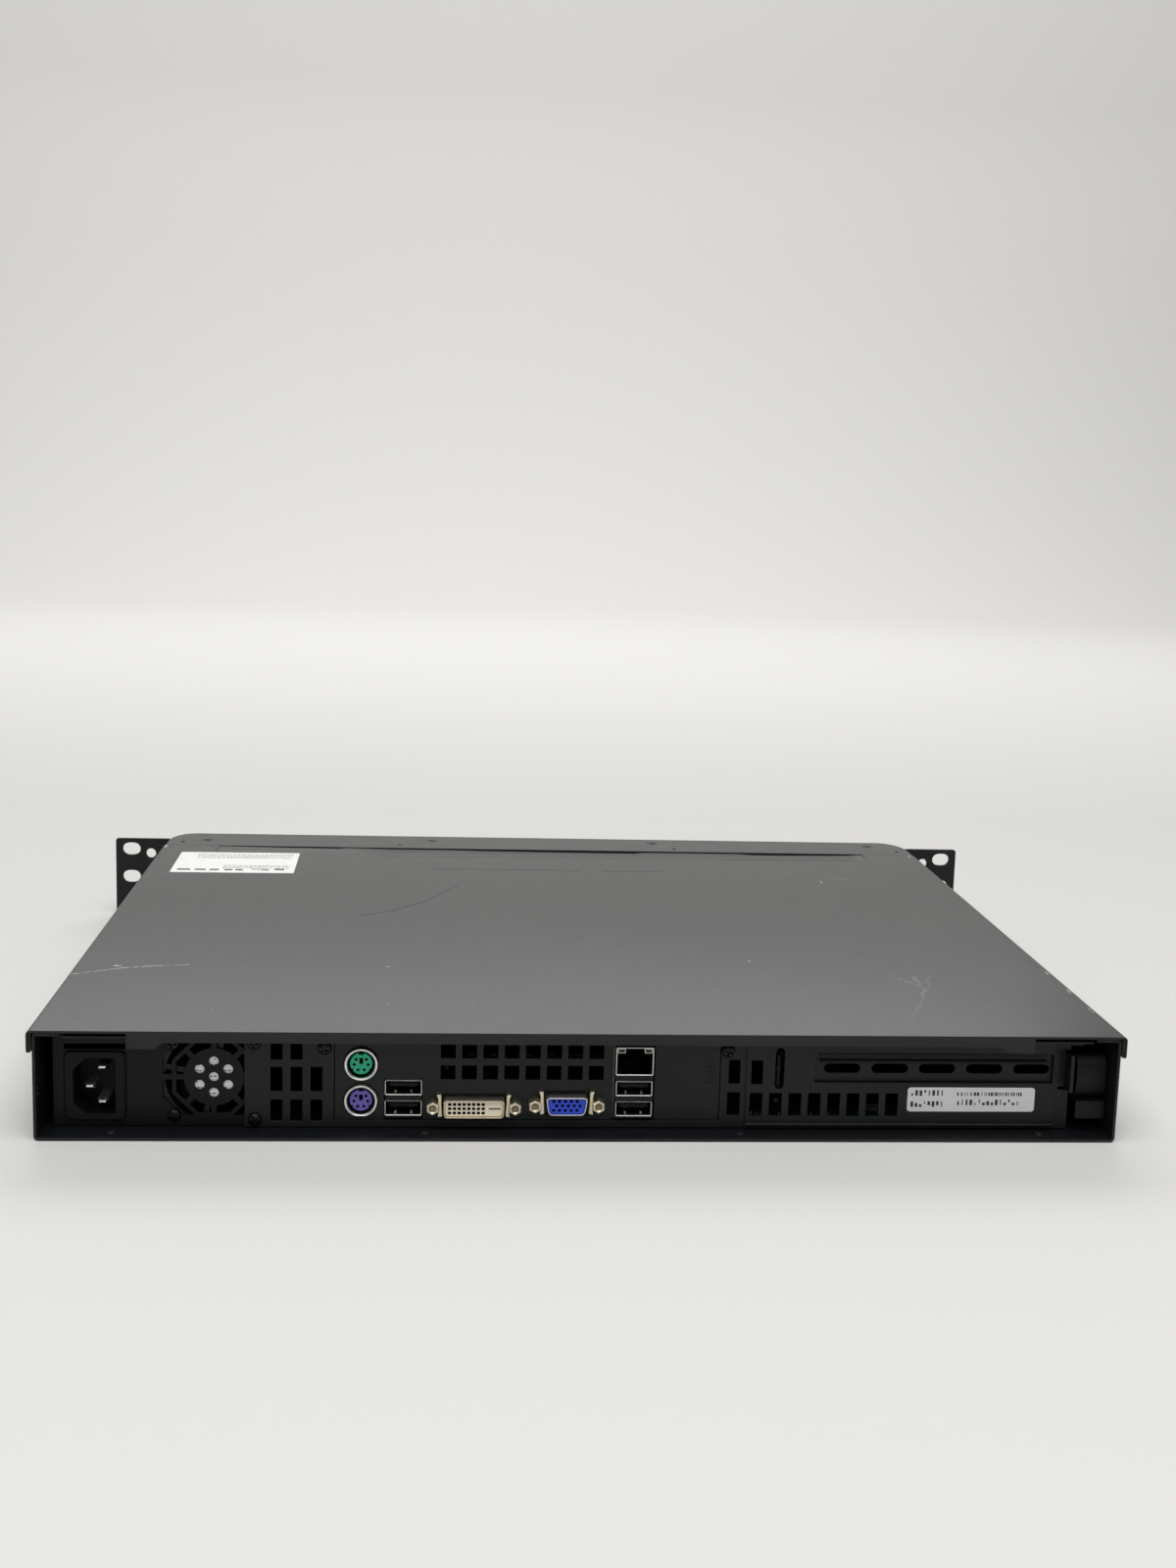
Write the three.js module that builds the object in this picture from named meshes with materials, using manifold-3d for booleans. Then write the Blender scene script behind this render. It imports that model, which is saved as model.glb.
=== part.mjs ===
// Rack-mount firewall appliance, one rack unit high.
// Millimetres, +Z up. The front faces -Y and the connectors face +Y. The origin is the middle of
// the underside. Left and right are as seen from the front, so right is +X.
import * as THREE from "three";
import { mergeVertices } from "three/addons/utils/BufferGeometryUtils.js";
import Module from "manifold-3d";

const wasm = await Module();
wasm.setup();

// ---------------------------------------------------------------- driving dimensions

const gap = 0.3; // running gap left between pieces that touch
const grid = 0.001; // points are rounded to this

const rack = {
  width: 482.6, // over both ears, the 19 inch standard
  slotSpan: 465.1, // between the slot columns
  slotPitch: 15.875, // between the slots of one ear
  slot: { length: 10, width: 7 },
  height: 43.7, // one rack unit less its clearance
};

const depth = 384; // front of the buttons to the rear edge of the cover
const rearEdge = depth / 2;
const fromRear = (distance) => rearEdge - distance;

const cover = {
  halfWidth: 212.6,
  sheet: 1,
  hem: { outer: 0.8, slit: 0.3, inner: 0.7, bottom: 35 },
  stepAt: 333, // distance of the front step from the rear edge
  frontAt: 349, // distance of the front edge from the rear edge
  tongue: { halfWidth: 181.8, top: 42.4, end: 358 },
};

const tray = {
  halfWidth: 210.5,
  sheet: 1.2,
  wallTop: rack.height - cover.sheet - gap,
  flange: 10,
  frontAt: 364.9,
};
const floorTop = tray.sheet;
const innerHalfWidth = tray.halfWidth - tray.sheet;

const panelAt = 12.5; // the rear panel is set back this far from the rear edge
const panelFace = fromRear(panelAt);
const panelSheet = 1;
const panelTop = cover.tongue.top - cover.sheet - gap;
const panelBack = panelFace - panelSheet;

const bezel = { halfWidth: 211.2, faceAt: 383, sheet: 1, wall: 1.6, corner: [13.7, 21] };
const bezelFace = fromRear(bezel.faceAt);
const webAt = 362; // the front panel's web
const webFace = fromRear(webAt + 1.2);
const webBack = fromRear(webAt);

const board = { x: [-144, 100], y: [-53.5, 176.5], bottom: 3.4, top: 5 };
const psu = { x: [124, 205.5], y: [28.2, panelBack - gap], z: [1.5, 40.9], sheet: 0.8 };
const smallFan = { size: 39, depth: 20, hub: 9.6, holeSpan: 32 };
const cpuFan = { size: 60, depth: 10, hub: 12.5, holeSpan: 50 };
const psuFanCentre = { x: 144.4, z: 21.2 };

// ---------------------------------------------------------------- helpers

const object = new THREE.Group();

function finish(colour, roughness, metalness) {
  return { color: colour, roughness, metalness };
}

const finishes = {
  coverPaint: finish(0x3a3b3d, 0.45, 0.1),
  blackPaint: finish(0x1b1c1f, 0.5, 0.1),
  bareSteel: finish(0xa5a8aa, 0.35, 0.9),
  nickel: finish(0xc9c7c0, 0.3, 0.9),
  blackPlastic: finish(0x17181a, 0.55, 0),
  creamPlastic: finish(0xe9dfc4, 0.5, 0),
  bluePlastic: finish(0x2447c4, 0.5, 0),
  greenPlastic: finish(0x1f9a74, 0.5, 0),
  purplePlastic: finish(0x6b5bb5, 0.5, 0),
  clearPlastic: finish(0xcfd6d2, 0.2, 0),
  boardGreen: finish(0x14301f, 0.5, 0),
  aluminium: finish(0xb4b7b9, 0.4, 0.9),
  cableBlack: finish(0x202022, 0.6, 0),
  cableRed: finish(0x9c1f22, 0.55, 0),
};

// A closed geometry as a solid that can be joined and cut. Its points are rounded to a fine grid,
// so that faces meant to lie in one plane do.
function solid(geometry) {
  const bare = geometry.clone();
  bare.deleteAttribute("normal");
  bare.deleteAttribute("uv");
  const points = bare.getAttribute("position").array;
  points.forEach((value, i) => {
    points[i] = Math.round(value / grid) * grid;
  });
  const merged = mergeVertices(bare, grid / 10);
  return new wasm.Manifold(
    new wasm.Mesh({
      numProp: 3,
      vertProperties: new Float32Array(merged.attributes.position.array),
      triVerts: new Uint32Array(merged.index.array),
    }),
  );
}

const join = (...solids) => solids.flat().reduce((all, next) => all.add(next));
const cut = (from, ...tools) => tools.flat().reduce((rest, tool) => rest.subtract(tool), from);

// Adds a solid to a group as a named mesh.
function piece(name, body, colour, parent = object) {
  const mesh = body.getMesh();
  const geometry = new THREE.BufferGeometry();
  const positions = new THREE.BufferAttribute(new Float32Array(mesh.vertProperties), 3);
  geometry.setAttribute("position", positions);
  geometry.setIndex(new THREE.BufferAttribute(new Uint32Array(mesh.triVerts), 1));
  geometry.computeVertexNormals();
  const made = new THREE.Mesh(geometry, new THREE.MeshStandardMaterial(finishes[colour]));
  made.name = name;
  parent.add(made);
  return made;
}

function block([x0, x1], [y0, y1], [z0, z1]) {
  const box = new THREE.BoxGeometry(x1 - x0, y1 - y0, z1 - z0);
  return solid(box.translate((x0 + x1) / 2, (y0 + y1) / 2, (z0 + z1) / 2));
}

// Turns that carry an extrusion of (a, b) points from XY onto another pair of axes.
const onto = {
  xy: new THREE.Matrix4(),
  xz: new THREE.Matrix4().set(1, 0, 0, 0, 0, 0, -1, 0, 0, 1, 0, 0, 0, 0, 0, 1),
  yz: new THREE.Matrix4().set(0, 0, 1, 0, 1, 0, 0, 0, 0, 1, 0, 0, 0, 0, 0, 1),
};

// A prism: an outline of [a, b] points in the named plane, between two values of the third axis.
function prism(plane, outline, [from, to]) {
  const shape = new THREE.Shape(outline.map(([a, b]) => new THREE.Vector2(a, b)));
  const geometry = new THREE.ExtrudeGeometry(shape, { depth: to - from, bevelEnabled: false });
  geometry.translate(0, 0, plane === "xz" ? -to : from);
  return solid(geometry.applyMatrix4(onto[plane]));
}

function arc([a, b], [radiusA, radiusB], fromDegrees, toDegrees, steps) {
  return Array.from({ length: steps + 1 }, (_, i) => {
    const angle = THREE.MathUtils.degToRad(fromDegrees + ((toDegrees - fromDegrees) * i) / steps);
    return [a + radiusA * Math.cos(angle), b + radiusB * Math.sin(angle)];
  });
}

function rod(plane, centre, radius, span, sides = 20) {
  return prism(plane, arc(centre, [radius, radius], 0, 360 - 360 / sides, sides - 1), span);
}

function polygon(centre, acrossFlats, sides, turn = 180 / sides) {
  const radius = acrossFlats / 2 / Math.cos(Math.PI / sides);
  return arc(centre, [radius, radius], turn, turn + 360 - 360 / sides, sides - 1);
}

function rectangle([a, b], width, height) {
  return [
    [a - width / 2, b - height / 2],
    [a + width / 2, b - height / 2],
    [a + width / 2, b + height / 2],
    [a - width / 2, b + height / 2],
  ];
}

function obround([a, b], length, width) {
  const offset = (length - width) / 2;
  const ends = [width / 2, width / 2];
  return [...arc([a + offset, b], ends, -90, 90, 5), ...arc([a - offset, b], ends, 90, 270, 5)];
}

// A rectangle that is narrower at the bottom by two slants, as a D-shaped plug is.
function dOutline([a, b], width, height, slant) {
  return [
    [a - width / 2 + slant, b - height / 2],
    [a + width / 2 - slant, b - height / 2],
    [a + width / 2, b + height / 2],
    [a - width / 2, b + height / 2],
  ];
}

function series(count, first, pitch) {
  return Array.from({ length: count }, (_, i) => first + i * pitch);
}

// A lead along a smooth curve through its points.
function lead(points, width, height, steps) {
  const curve = new THREE.CatmullRomCurve3(points.map((p) => new THREE.Vector3(...p)));
  const outline = arc([0, 0], [height / 2, width / 2], 0, 315, 7);
  const shape = new THREE.Shape(outline.map(([a, b]) => new THREE.Vector2(a, b)));
  return solid(new THREE.ExtrudeGeometry(shape, { steps, extrudePath: curve }));
}

// ---------------------------------------------------------------- sheet-metal enclosure

function baseTray() {
  const w = tray.halfWidth;
  const t = tray.sheet;
  const top = tray.wallTop;
  const inner = w - tray.flange;
  const outline = [
    ...arc([-w + 2, 2], [2, 2], 180, 270, 3),
    ...arc([w - 2, 2], [2, 2], 270, 360, 3),
    [w, top],
    [inner, top],
    [inner, top - t],
    [w - t, top - t],
    ...arc([w - 2, 2], [2 - t, 2 - t], 360, 270, 2),
    ...arc([-w + 2, 2], [2 - t, 2 - t], 270, 180, 2),
    [-w + t, top - t],
    [-inner, top - t],
    [-inner, top],
    [-w, top],
  ];
  const channel = prism("xz", outline, [fromRear(tray.frontAt), fromRear(0.4)]);
  const posts = [];
  for (const x of [board.x[0] + 10, -30, board.x[1] - 12]) {
    for (const y of [board.y[0] + 12, 60, board.y[1] - 14]) {
      posts.push(rod("xy", [x, y], 3.5, [floorTop - 0.2, board.bottom - gap], 8));
    }
  }
  const vents = series(8, -110, 10).flatMap((y) =>
    [-w, w].map((x) => block([x - 3, x + 3], [y, y + 4], [12, 30])),
  );
  piece("base_tray", cut(join(channel, posts), vents), "blackPaint");
}

function coverSection(front) {
  const w = cover.halfWidth;
  const top = rack.height;
  const under = top - cover.sheet;
  const { outer, slit, inner, bottom } = cover.hem;
  const fold = bottom + outer;
  const half = [
    [w, bottom + 0.6],
    [w - 0.5, bottom],
    [w - outer - slit - inner, bottom],
    [w - outer - slit - inner, under - gap],
    [w - outer - slit, under - gap],
    [w - outer - slit, fold],
    [w - outer, fold],
    [w - outer, under],
  ];
  const mirrored = half.map(([x, z]) => [-x, z]).reverse();
  const corner = 1.2;
  const leftCorner = arc([-w + corner, top - corner], [corner, corner], 180, 90, 3);
  const rightCorner = arc([w - corner, top - corner], [corner, corner], 90, 0, 3);
  const outline = [...half, ...mirrored, ...leftCorner, ...rightCorner];
  return prism("xz", outline.reverse(), [fromRear(front), rearEdge]);
}

function topCover() {
  const { tongue, sheet, stepAt, frontAt } = cover;
  const mouth = block(
    [-tongue.halfWidth, tongue.halfWidth],
    [fromRear(frontAt) - 1, fromRear(stepAt)],
    [tongue.top - sheet - 1, rack.height + 1],
  );
  const step = block(
    [-tongue.halfWidth - 0.5, tongue.halfWidth + 0.5],
    [fromRear(stepAt) - sheet, fromRear(stepAt) + 0.5],
    [tongue.top - sheet, rack.height - 0.2],
  );
  const tongueSheet = block(
    [-tongue.halfWidth + gap, tongue.halfWidth - gap],
    [fromRear(tongue.end), fromRear(stepAt)],
    [tongue.top - sheet, tongue.top],
  );
  const lip = { middle: 39.1, tab: 36.6, tabOuter: 175.5, tabInner: 165, slantEnd: 161.9 };
  const half = [
    [lip.slantEnd, lip.middle],
    [lip.tabInner, lip.tab],
    [lip.tabOuter, lip.tab],
    [lip.tabOuter, rack.height - 0.2],
  ];
  const outline = [...half, ...half.map(([x, z]) => [-x, z]).reverse()];
  const rearLip = prism("xz", outline, [rearEdge - sheet, rearEdge]);
  const section = cut(coverSection(frontAt), mouth);
  piece("top_cover", join(section, step, tongueSheet, rearLip), "coverPaint");
}

// A slab in the bezel's plan outline, from its face back to a distance from the rear edge.
function bezelSlab(inset, backAt, span) {
  const [radiusX, radiusY] = bezel.corner;
  const w = bezel.halfWidth - inset;
  const straightBack = fromRear(cover.frontAt + gap);
  const cornerX = bezel.halfWidth - radiusX;
  const cornerY = bezelFace + radiusY;
  const radii = [radiusX - inset, radiusY - inset];
  const outline = [
    [w, straightBack],
    [-w, straightBack],
    ...arc([-cornerX, cornerY], radii, 180, 270, 8),
    ...arc([cornerX, cornerY], radii, 270, 360, 8),
  ];
  const slab = prism("xy", outline, span);
  const behind = block([-250, 250], [fromRear(backAt), 0], [span[0] - 1, span[1] + 1]);
  return cut(slab, behind);
}

// What the front has: ports, lights, buttons and vents, all centred at one height.
const front = {
  z: 22,
  lan: [{ x: 138 }, { x: 158 }],
  lights: series(5, 62, 8),
  power: 112,
  reset: 121,
  ventGroups: [-186, -104, -22],
  ventPitch: 7.4,
  ventCount: 10,
};

function bezelCuts(span) {
  const ports = front.lan.map(({ x }) => prism("xz", rectangle([x, front.z], 16.6, 14), span));
  const lights = front.lights.map((x) => rod("xz", [x, front.z], 1.9, span, 10));
  const power = prism("xz", rectangle([front.power, front.z], 8.6, 5.6), span);
  const reset = rod("xz", [front.reset, front.z], 1.9, span, 10);
  const vents = front.ventGroups.flatMap((x) =>
    series(front.ventCount, x, front.ventPitch).map((vx) =>
      prism("xz", rectangle([vx, front.z], 3.2, 22), span),
    ),
  );
  return [...ports, ...lights, power, reset, ...vents];
}

function frontBezel() {
  const wallFrom = 367.5;
  const plateTop = bezelSlab(0, cover.frontAt + gap, [rack.height - bezel.sheet, rack.height]);
  const plateBottom = bezelSlab(0, tray.frontAt + 0.4, [0.1, 0.1 + bezel.sheet]);
  const shell = cut(
    bezelSlab(0, wallFrom, [0.1, rack.height]),
    bezelSlab(bezel.wall, wallFrom - 5, [0.1 + bezel.sheet, rack.height - bezel.sheet]),
  );
  const cuts = bezelCuts([bezelFace - 1, bezelFace + 4]);
  piece("front_bezel", cut(join(plateTop, plateBottom, shell), cuts), "coverPaint");
}

function frontPanel() {
  const top = tray.wallTop;
  const t = tray.sheet;
  const clear = tray.halfWidth - tray.flange - gap;
  const web = join(
    block([-209, 209], [webFace, webBack], [floorTop + gap, top - t - gap]),
    block([-clear, clear], [webFace, webBack], [floorTop + gap, top]),
  );
  const topFlange = block([-clear, clear], [fromRear(376), webBack], [top - t, top]);
  const bottomFlange = block([-clear, clear], [webFace, webBack + 8], [floorTop + gap, floorTop + gap + t]);
  const through = [webFace - 1, webBack + 1];
  const boardPass = block([front.lan[0].x - 13, front.lan[1].x + 13], through, [11.6, 31]);
  const airWidth = (front.ventCount - 1) * front.ventPitch + 8;
  const airHeight = [front.z - 12, front.z + 12];
  const air = front.ventGroups.map((x) => block([x - 4, x - 4 + airWidth], through, airHeight));
  const pipes = front.lights.map((x) => rod("xz", [x, front.z], 2.2, through, 10));
  const buttons = [front.power, front.reset].map((x) => rod("xz", [x, front.z], 3.4, through, 10));
  const sheet = join(web, topFlange, bottomFlange);
  piece("front_panel", cut(sheet, air, pipes, buttons, boardPass), "blackPaint");
}

function rackEar(side) {
  const plateFace = fromRear(365.2);
  const thickness = 2;
  const inner = tray.halfWidth + gap + 0.7;
  const outer = rack.width / 2;
  const flange = prism(
    "xz",
    [
      [side * inner, 0.1],
      [side * outer, 0.1],
      [side * outer, rack.height - 0.1],
      [side * inner, rack.height - 0.1],
    ],
    [plateFace - thickness, plateFace],
  );
  const legInner = side * (tray.halfWidth + gap);
  const legSpan = [legInner, legInner + side * thickness].sort((a, b) => a - b);
  const leg = block(legSpan, [plateFace - thickness, fromRear(322)], [3, cover.hem.bottom - 0.6]);
  const middle = rack.height / 2;
  const through = [plateFace - 5, plateFace + 3];
  const slots = [-1, 0, 1].map((row) => {
    const centre = [(side * rack.slotSpan) / 2, middle + row * rack.slotPitch];
    return prism("xz", obround(centre, rack.slot.length, rack.slot.width), through);
  });
  const hole = { x: 221.8, rise: 13.4, radius: 2.8 };
  const holes = [-1, 1].map((row) =>
    rod("xz", [side * hole.x, middle + row * hole.rise], hole.radius, through, 10),
  );
  const name = side > 0 ? "rack_ear_right" : "rack_ear_left";
  piece(name, cut(join(flange, leg), slots, holes), "blackPaint");
}

// ---------------------------------------------------------------- rear panel and its plates

const ioOpening = { x: [-53.3, 98.1], bottom: 4.4 };

function ventColumns(xs, z0, z1, width = 4.5) {
  return xs.map((x) => block([x - width / 2, x + width / 2], [panelBack - 3, panelFace + 3], [z0, z1]));
}

function rearPanel() {
  const top = panelTop;
  const [raisedFrom, raisedTo] = [-188.4, -63.5];
  const plate = block([-194.5, 199.7], [panelBack, panelFace], [floorTop + gap, top]);
  const raised = block([raisedFrom, raisedTo], [panelFace - 0.2, panelFace + 0.8], [3.8, top]);
  const topFlange = block([-199.7, 199.7], [panelBack, rearEdge - 1.5], [top - 0.9, top]);
  const upright = block([-199.7, -194], [panelBack, panelFace], [36.2, top]);
  const psuOpening = block([132.6, 210], [panelBack - 1, panelFace + 1], [0, 38.2]);
  const through = [panelBack - 1, panelFace + 2];
  const ioCut = block([ioOpening.x[0], ioOpening.x[1]], through, [ioOpening.bottom, 38.4]);
  const vents = [
    ...ventColumns([120.3, 112.6], 28.8, 35.5),
    ...ventColumns([120.3, 112.6, 104.9], 16, 25.7),
    ...ventColumns([120.3, 112.6, 104.9], 3.9, 12.5),
    ...ventColumns([-58.9, -67.8], 19.8, 29.5),
    ...ventColumns([-58.9, ...series(8, -67.8, -7.8)], 6.7, 16.1, 5),
  ];
  const riserSlot = prism("xz", obround([0, 0], 16.9, 3.5).map(([a, b]) => [-76.8 + b, 26.2 - a]), through);
  const cardOpening = block([-187.4, -91], through, [20.6, 32.7]);
  const tabNotch = block([-197, -190], through, [17.8, 34.4]);
  const cuts = [psuOpening, ioCut, ...vents, riserSlot, cardOpening, tabNotch];
  piece("rear_panel", cut(join(plate, raised, topFlange, upright), cuts), "blackPaint");
}

function ioShield() {
  const plate = block(
    [ioOpening.x[0] + gap, ioOpening.x[1] - gap],
    [panelBack - 0.4, panelFace - 0.2],
    [ioOpening.bottom + gap, 38.1],
  );
  const ears = [
    block([ioOpening.x[1] - 1, 106], [panelBack - 1.3, panelBack - gap], [29, 38.1]),
    block([-60, ioOpening.x[0] + 1], [panelBack - 1.3, panelBack - gap], [30.5, 38.1]),
  ];
  const through = [panelBack - 3, panelFace + 3];
  const rounds = [12.4, 27.2].map((z) => rod("xz", [87.7, z], 7, through, 20));
  const blocks = [
    block([63.8, 78.7], through, [4, 21.2]),
    block([-27.3, -10.7], through, [4, 35.6]),
  ];
  const dSockets = [dviSocket, vgaSocket].flatMap(({ x, z, width, height, screwSpan, screwZ }) => [
    prism("xz", rectangle([x, z], width + 4.8, height + 2.8), through),
    ...[-1, 1].map((side) => rod("xz", [x + (side * screwSpan) / 2, screwZ], 1.9, through, 12)),
  ]);
  const vents = series(8, 54, -8.3).flatMap((x) =>
    [23.8, 32.4].map((z) => prism("xz", rectangle([x, z], 5.8, 5.7), through)),
  );
  piece("io_shield", cut(join(plate, ears), rounds, blocks, dSockets, vents), "blackPaint");
}

function slotCover() {
  const y = [panelBack - gap - 0.9, panelBack - gap];
  const plate = block([-193, -88], y, [18.6, 34.2]);
  const tab = block([-194.2, -192.8], [y[0], fromRear(6.5)], [18.4, 33.8]);
  const slots = series(5, -102.2, -19.2).map((x) =>
    prism("xz", obround([x, 25.9], 14.8, 3.8), [y[0] - 1, y[1] + 1]),
  );
  piece("slot_cover", cut(join(plate, tab), slots), "blackPaint");
}

// A bent spring strip that presses on the slot cover's tab.
function slotRetainer() {
  const t = 1;
  const y = fromRear(panelAt + 1);
  const bulge = [6.2, 6.4];
  const centre = [y, 21.9];
  const outer = [
    [y, 33.6],
    [y, 28.4],
    ...arc(centre, bulge, 80, -80, 8),
    [y + 0.8, 14.6],
    [y + 4.6, 14.4],
    [y + 4.6, 7.2],
  ];
  const inner = [
    [y + 4.6 - t, 7.2],
    [y + 4.6 - t, 13.4],
    [y - 0.2, 13.6],
    [y - 0.2, 15.8],
    ...arc(centre, [bulge[0] - t, bulge[1] - t], -80, 80, 8),
    [y - t, 28],
    [y - t, 33.6],
  ];
  const strip = prism("yz", [...outer, ...inner].reverse(), [-208.9, -196.4]);
  piece("slot_retainer", strip, "blackPaint");
}

// ---------------------------------------------------------------- rear connectors

const face = { lan: fromRear(10.4), ps2: fromRear(10.9), usb: fromRear(10.6), dSub: fromRear(7.6) };

function ps2Stack() {
  const x = 87.7;
  const backY = 164;
  const rows = [
    { z: 12.4, name: "ps2_keyboard_insert", colour: "purplePlastic" },
    { z: 27.2, name: "ps2_mouse_insert", colour: "greenPlastic" },
  ];
  const housing = block([x - 7, x + 7], [backY, panelBack - 1.4], [board.top + gap, 34.4]);
  const collars = rows.map(({ z }) => rod("xz", [x, z], 6.7, [panelBack - 2, face.ps2], 20));
  const sockets = rows.map(({ z }) => rod("xz", [x, z], 4.9, [backY + 3, face.ps2 + 1], 20));
  piece("ps2_housing", cut(join(housing, collars), sockets), "nickel");
  for (const { z, name, colour } of rows) {
    const plug = rod("xz", [x, z], 4.6, [backY + 3.3, face.ps2 - 0.8], 16);
    const moat = cut(
      rod("xz", [x, z], 4, [face.ps2 - 6, face.ps2], 16),
      rod("xz", [x, z], 3.1, [face.ps2 - 7, face.ps2 + 1], 16),
    );
    const key = block([x - 0.9, x + 0.9], [face.ps2 - 6, face.ps2], [z - 1, z + 1.6]);
    piece(name, cut(plug, moat, key), colour);
  }
}

function usbPort(x, z, y) {
  const cavity = block([x - 6.2, x + 6.2], [y - 12, y + 1], [z - 2.4, z + 2.5]);
  const tongue = block([x - 5.6, x + 5.6], [y - 12.2, y - 1.6], [z + 0.1, z + 1.6]);
  return { cavity, tongue };
}

function usbStack() {
  const x = 71.2;
  const shell = block([x - 7.1, x + 7.1], [163, face.usb], [board.top + gap, 20.9]);
  const ports = [9.5, 17.6].map((z) => usbPort(x, z, face.usb));
  const hollow = cut(shell, ports.map((port) => port.cavity));
  piece("usb_stack", join(hollow, ports.map((port) => port.tongue)), "nickel");
}

function lanUsbStack() {
  const x = -19;
  const shell = block([x - 8, x + 8], [158, face.lan], [board.top + gap, 35.2]);
  const ports = [9, 17.6].map((z) => usbPort(x, z, face.lan));
  const jack = block([x - 5.9, x + 5.9], [face.lan - 13, face.lan + 1], [24.6, 31.4]);
  const latch = block([x - 3.2, x + 3.2], [face.lan - 13, face.lan + 1], [31.2, 33.6]);
  const hollow = cut(shell, ports.map((port) => port.cavity), jack, latch);
  piece("lan_usb_stack", join(hollow, ports.map((port) => port.tongue)), "nickel");
}

// A D-shaped or rectangular video socket: metal shell with a flange, moulded insert, two jack screws.
function videoSocket({ name, x, z, width, height, slant, wall, screwSpan, insertColour, screwZ }) {
  const bodyY = [162, panelBack - 1];
  const bodyTop = z + height / 2 + 1.2;
  const body = block([x - screwSpan / 2 - 3.6, x + screwSpan / 2 + 3.6], bodyY, [board.top + gap, bodyTop]);
  const shell = prism("xz", dOutline([x, z], width, height, slant), [bodyY[1] - 0.5, face.dSub]);
  const hollow = dOutline([x, z], width - 2 * wall, height - 2 * wall, slant);
  const pocket = prism("xz", hollow, [bodyY[1] - 3, face.dSub + 1]);
  const wingX = width / 2 + 1;
  const wings = [-1, 1].map((side) =>
    block(
      [x + side * wingX - 0.5, x + side * wingX + 0.5],
      [bodyY[1] - 0.5, face.dSub - 1.8],
      [z - 2.4, z + height / 2 + 1.2],
    ),
  );
  const screwXs = [x - screwSpan / 2, x + screwSpan / 2];
  const sockets = screwXs.map((sx) => rod("xz", [sx, screwZ], 1.6, [bodyY[1] - 6, bodyY[1] + 1], 12));
  piece(`${name}_shell`, cut(join(body, shell, wings), pocket, sockets), "nickel");
  const fill = dOutline([x, z], width - 2 * wall - 2 * gap, height - 2 * wall - 2 * gap, slant);
  piece(`${name}_insert`, prism("xz", fill, [bodyY[1] - 2.7, face.dSub - 1.2]), insertColour);
  screwXs.forEach((sx, i) => {
    const head = prism("xz", polygon([sx, screwZ], 5, 6), [panelFace + 0.1, face.dSub + 0.6]);
    const shank = rod("xz", [sx, screwZ], 1.3, [bodyY[1] - 5, panelFace + 0.3], 12);
    const bore = rod("xz", [sx, screwZ], 1.4, [panelFace + 1, face.dSub + 2], 12);
    piece(`${name}_jack_screw_${i + 1}`, cut(join(head, shank), bore), "nickel");
  });
}

const dviSocket = {
  name: "dvi",
  x: 43.7,
  z: 10.3,
  width: 23.8,
  height: 7.2,
  slant: 0.01,
  wall: 0.8,
  screwSpan: 32.1,
  screwZ: 10.7,
  insertColour: "creamPlastic",
};

const vgaSocket = {
  name: "vga",
  x: 7.4,
  z: 11.6,
  width: 16.6,
  height: 7.4,
  slant: 1.1,
  wall: 0.7,
  screwSpan: 24.9,
  screwZ: 11.6,
  insertColour: "bluePlastic",
};

// ---------------------------------------------------------------- fans

// A square axial fan along local +Z with the label side of its hub at z = 0.
function fan({ size, depth: thick, hub, holeSpan }, prefix, parent) {
  const tipRadius = size / 2 - 2.2;
  const strut = 1.6;
  const half = size / 2;
  const shaftRadius = 1.5;
  const frame = cut(
    prism("xy", rectangle([0, 0], size, size), [0, thick]),
    rod("xy", [0, 0], size / 2 - 1, [-1, thick + 1], 24),
    [-1, 1].flatMap((sx) =>
      [-1, 1].map((sy) =>
        rod("xy", [(sx * holeSpan) / 2, (sy * holeSpan) / 2], 1.7, [-1, thick + 1], 6),
      ),
    ),
  );
  const stator = join(
    rod("xy", [0, 0], hub, [0, strut], 16),
    prism("xy", rectangle([0, 0], 2.2, size - 1), [0, strut]),
    prism("xy", rectangle([0, 0], size - 1, 2.2), [0, strut]),
    rod("xy", [0, 0], 3.4, [0.5, thick - 3.4], 12),
  );
  const bearing = rod("xy", [0, 0], shaftRadius + 0.1, [strut, thick], 12);
  piece(`${prefix}_frame`, cut(join(frame, stator), bearing), "blackPlastic", parent);

  const cupBottom = strut + 0.6;
  const cupTop = thick - 0.8;
  const cup = cut(
    rod("xy", [0, 0], hub, [cupBottom, cupTop], 18),
    rod("xy", [0, 0], hub - 1.4, [cupBottom - 1, cupTop - 1.6], 18),
  );
  const shaft = rod("xy", [0, 0], shaftRadius, [strut + 0.8, cupTop - 1], 12);
  const bladeCount = 7;
  const blades = series(bladeCount, 0, 360 / bladeCount).map((degrees) => {
    const height = cupTop - cupBottom - 0.6;
    const blade = new THREE.BoxGeometry(tipRadius - hub + 1, 1.2, height / Math.cos(0.5) - 0.8);
    blade.rotateX(0.5);
    blade.translate((tipRadius + hub - 1) / 2, 0, (cupTop + cupBottom) / 2);
    return solid(blade.rotateZ(THREE.MathUtils.degToRad(degrees)));
  });
  piece(`${prefix}_rotor`, join(cup, shaft, blades), "blackPlastic", parent);
}

// ---------------------------------------------------------------- power supply

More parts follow.
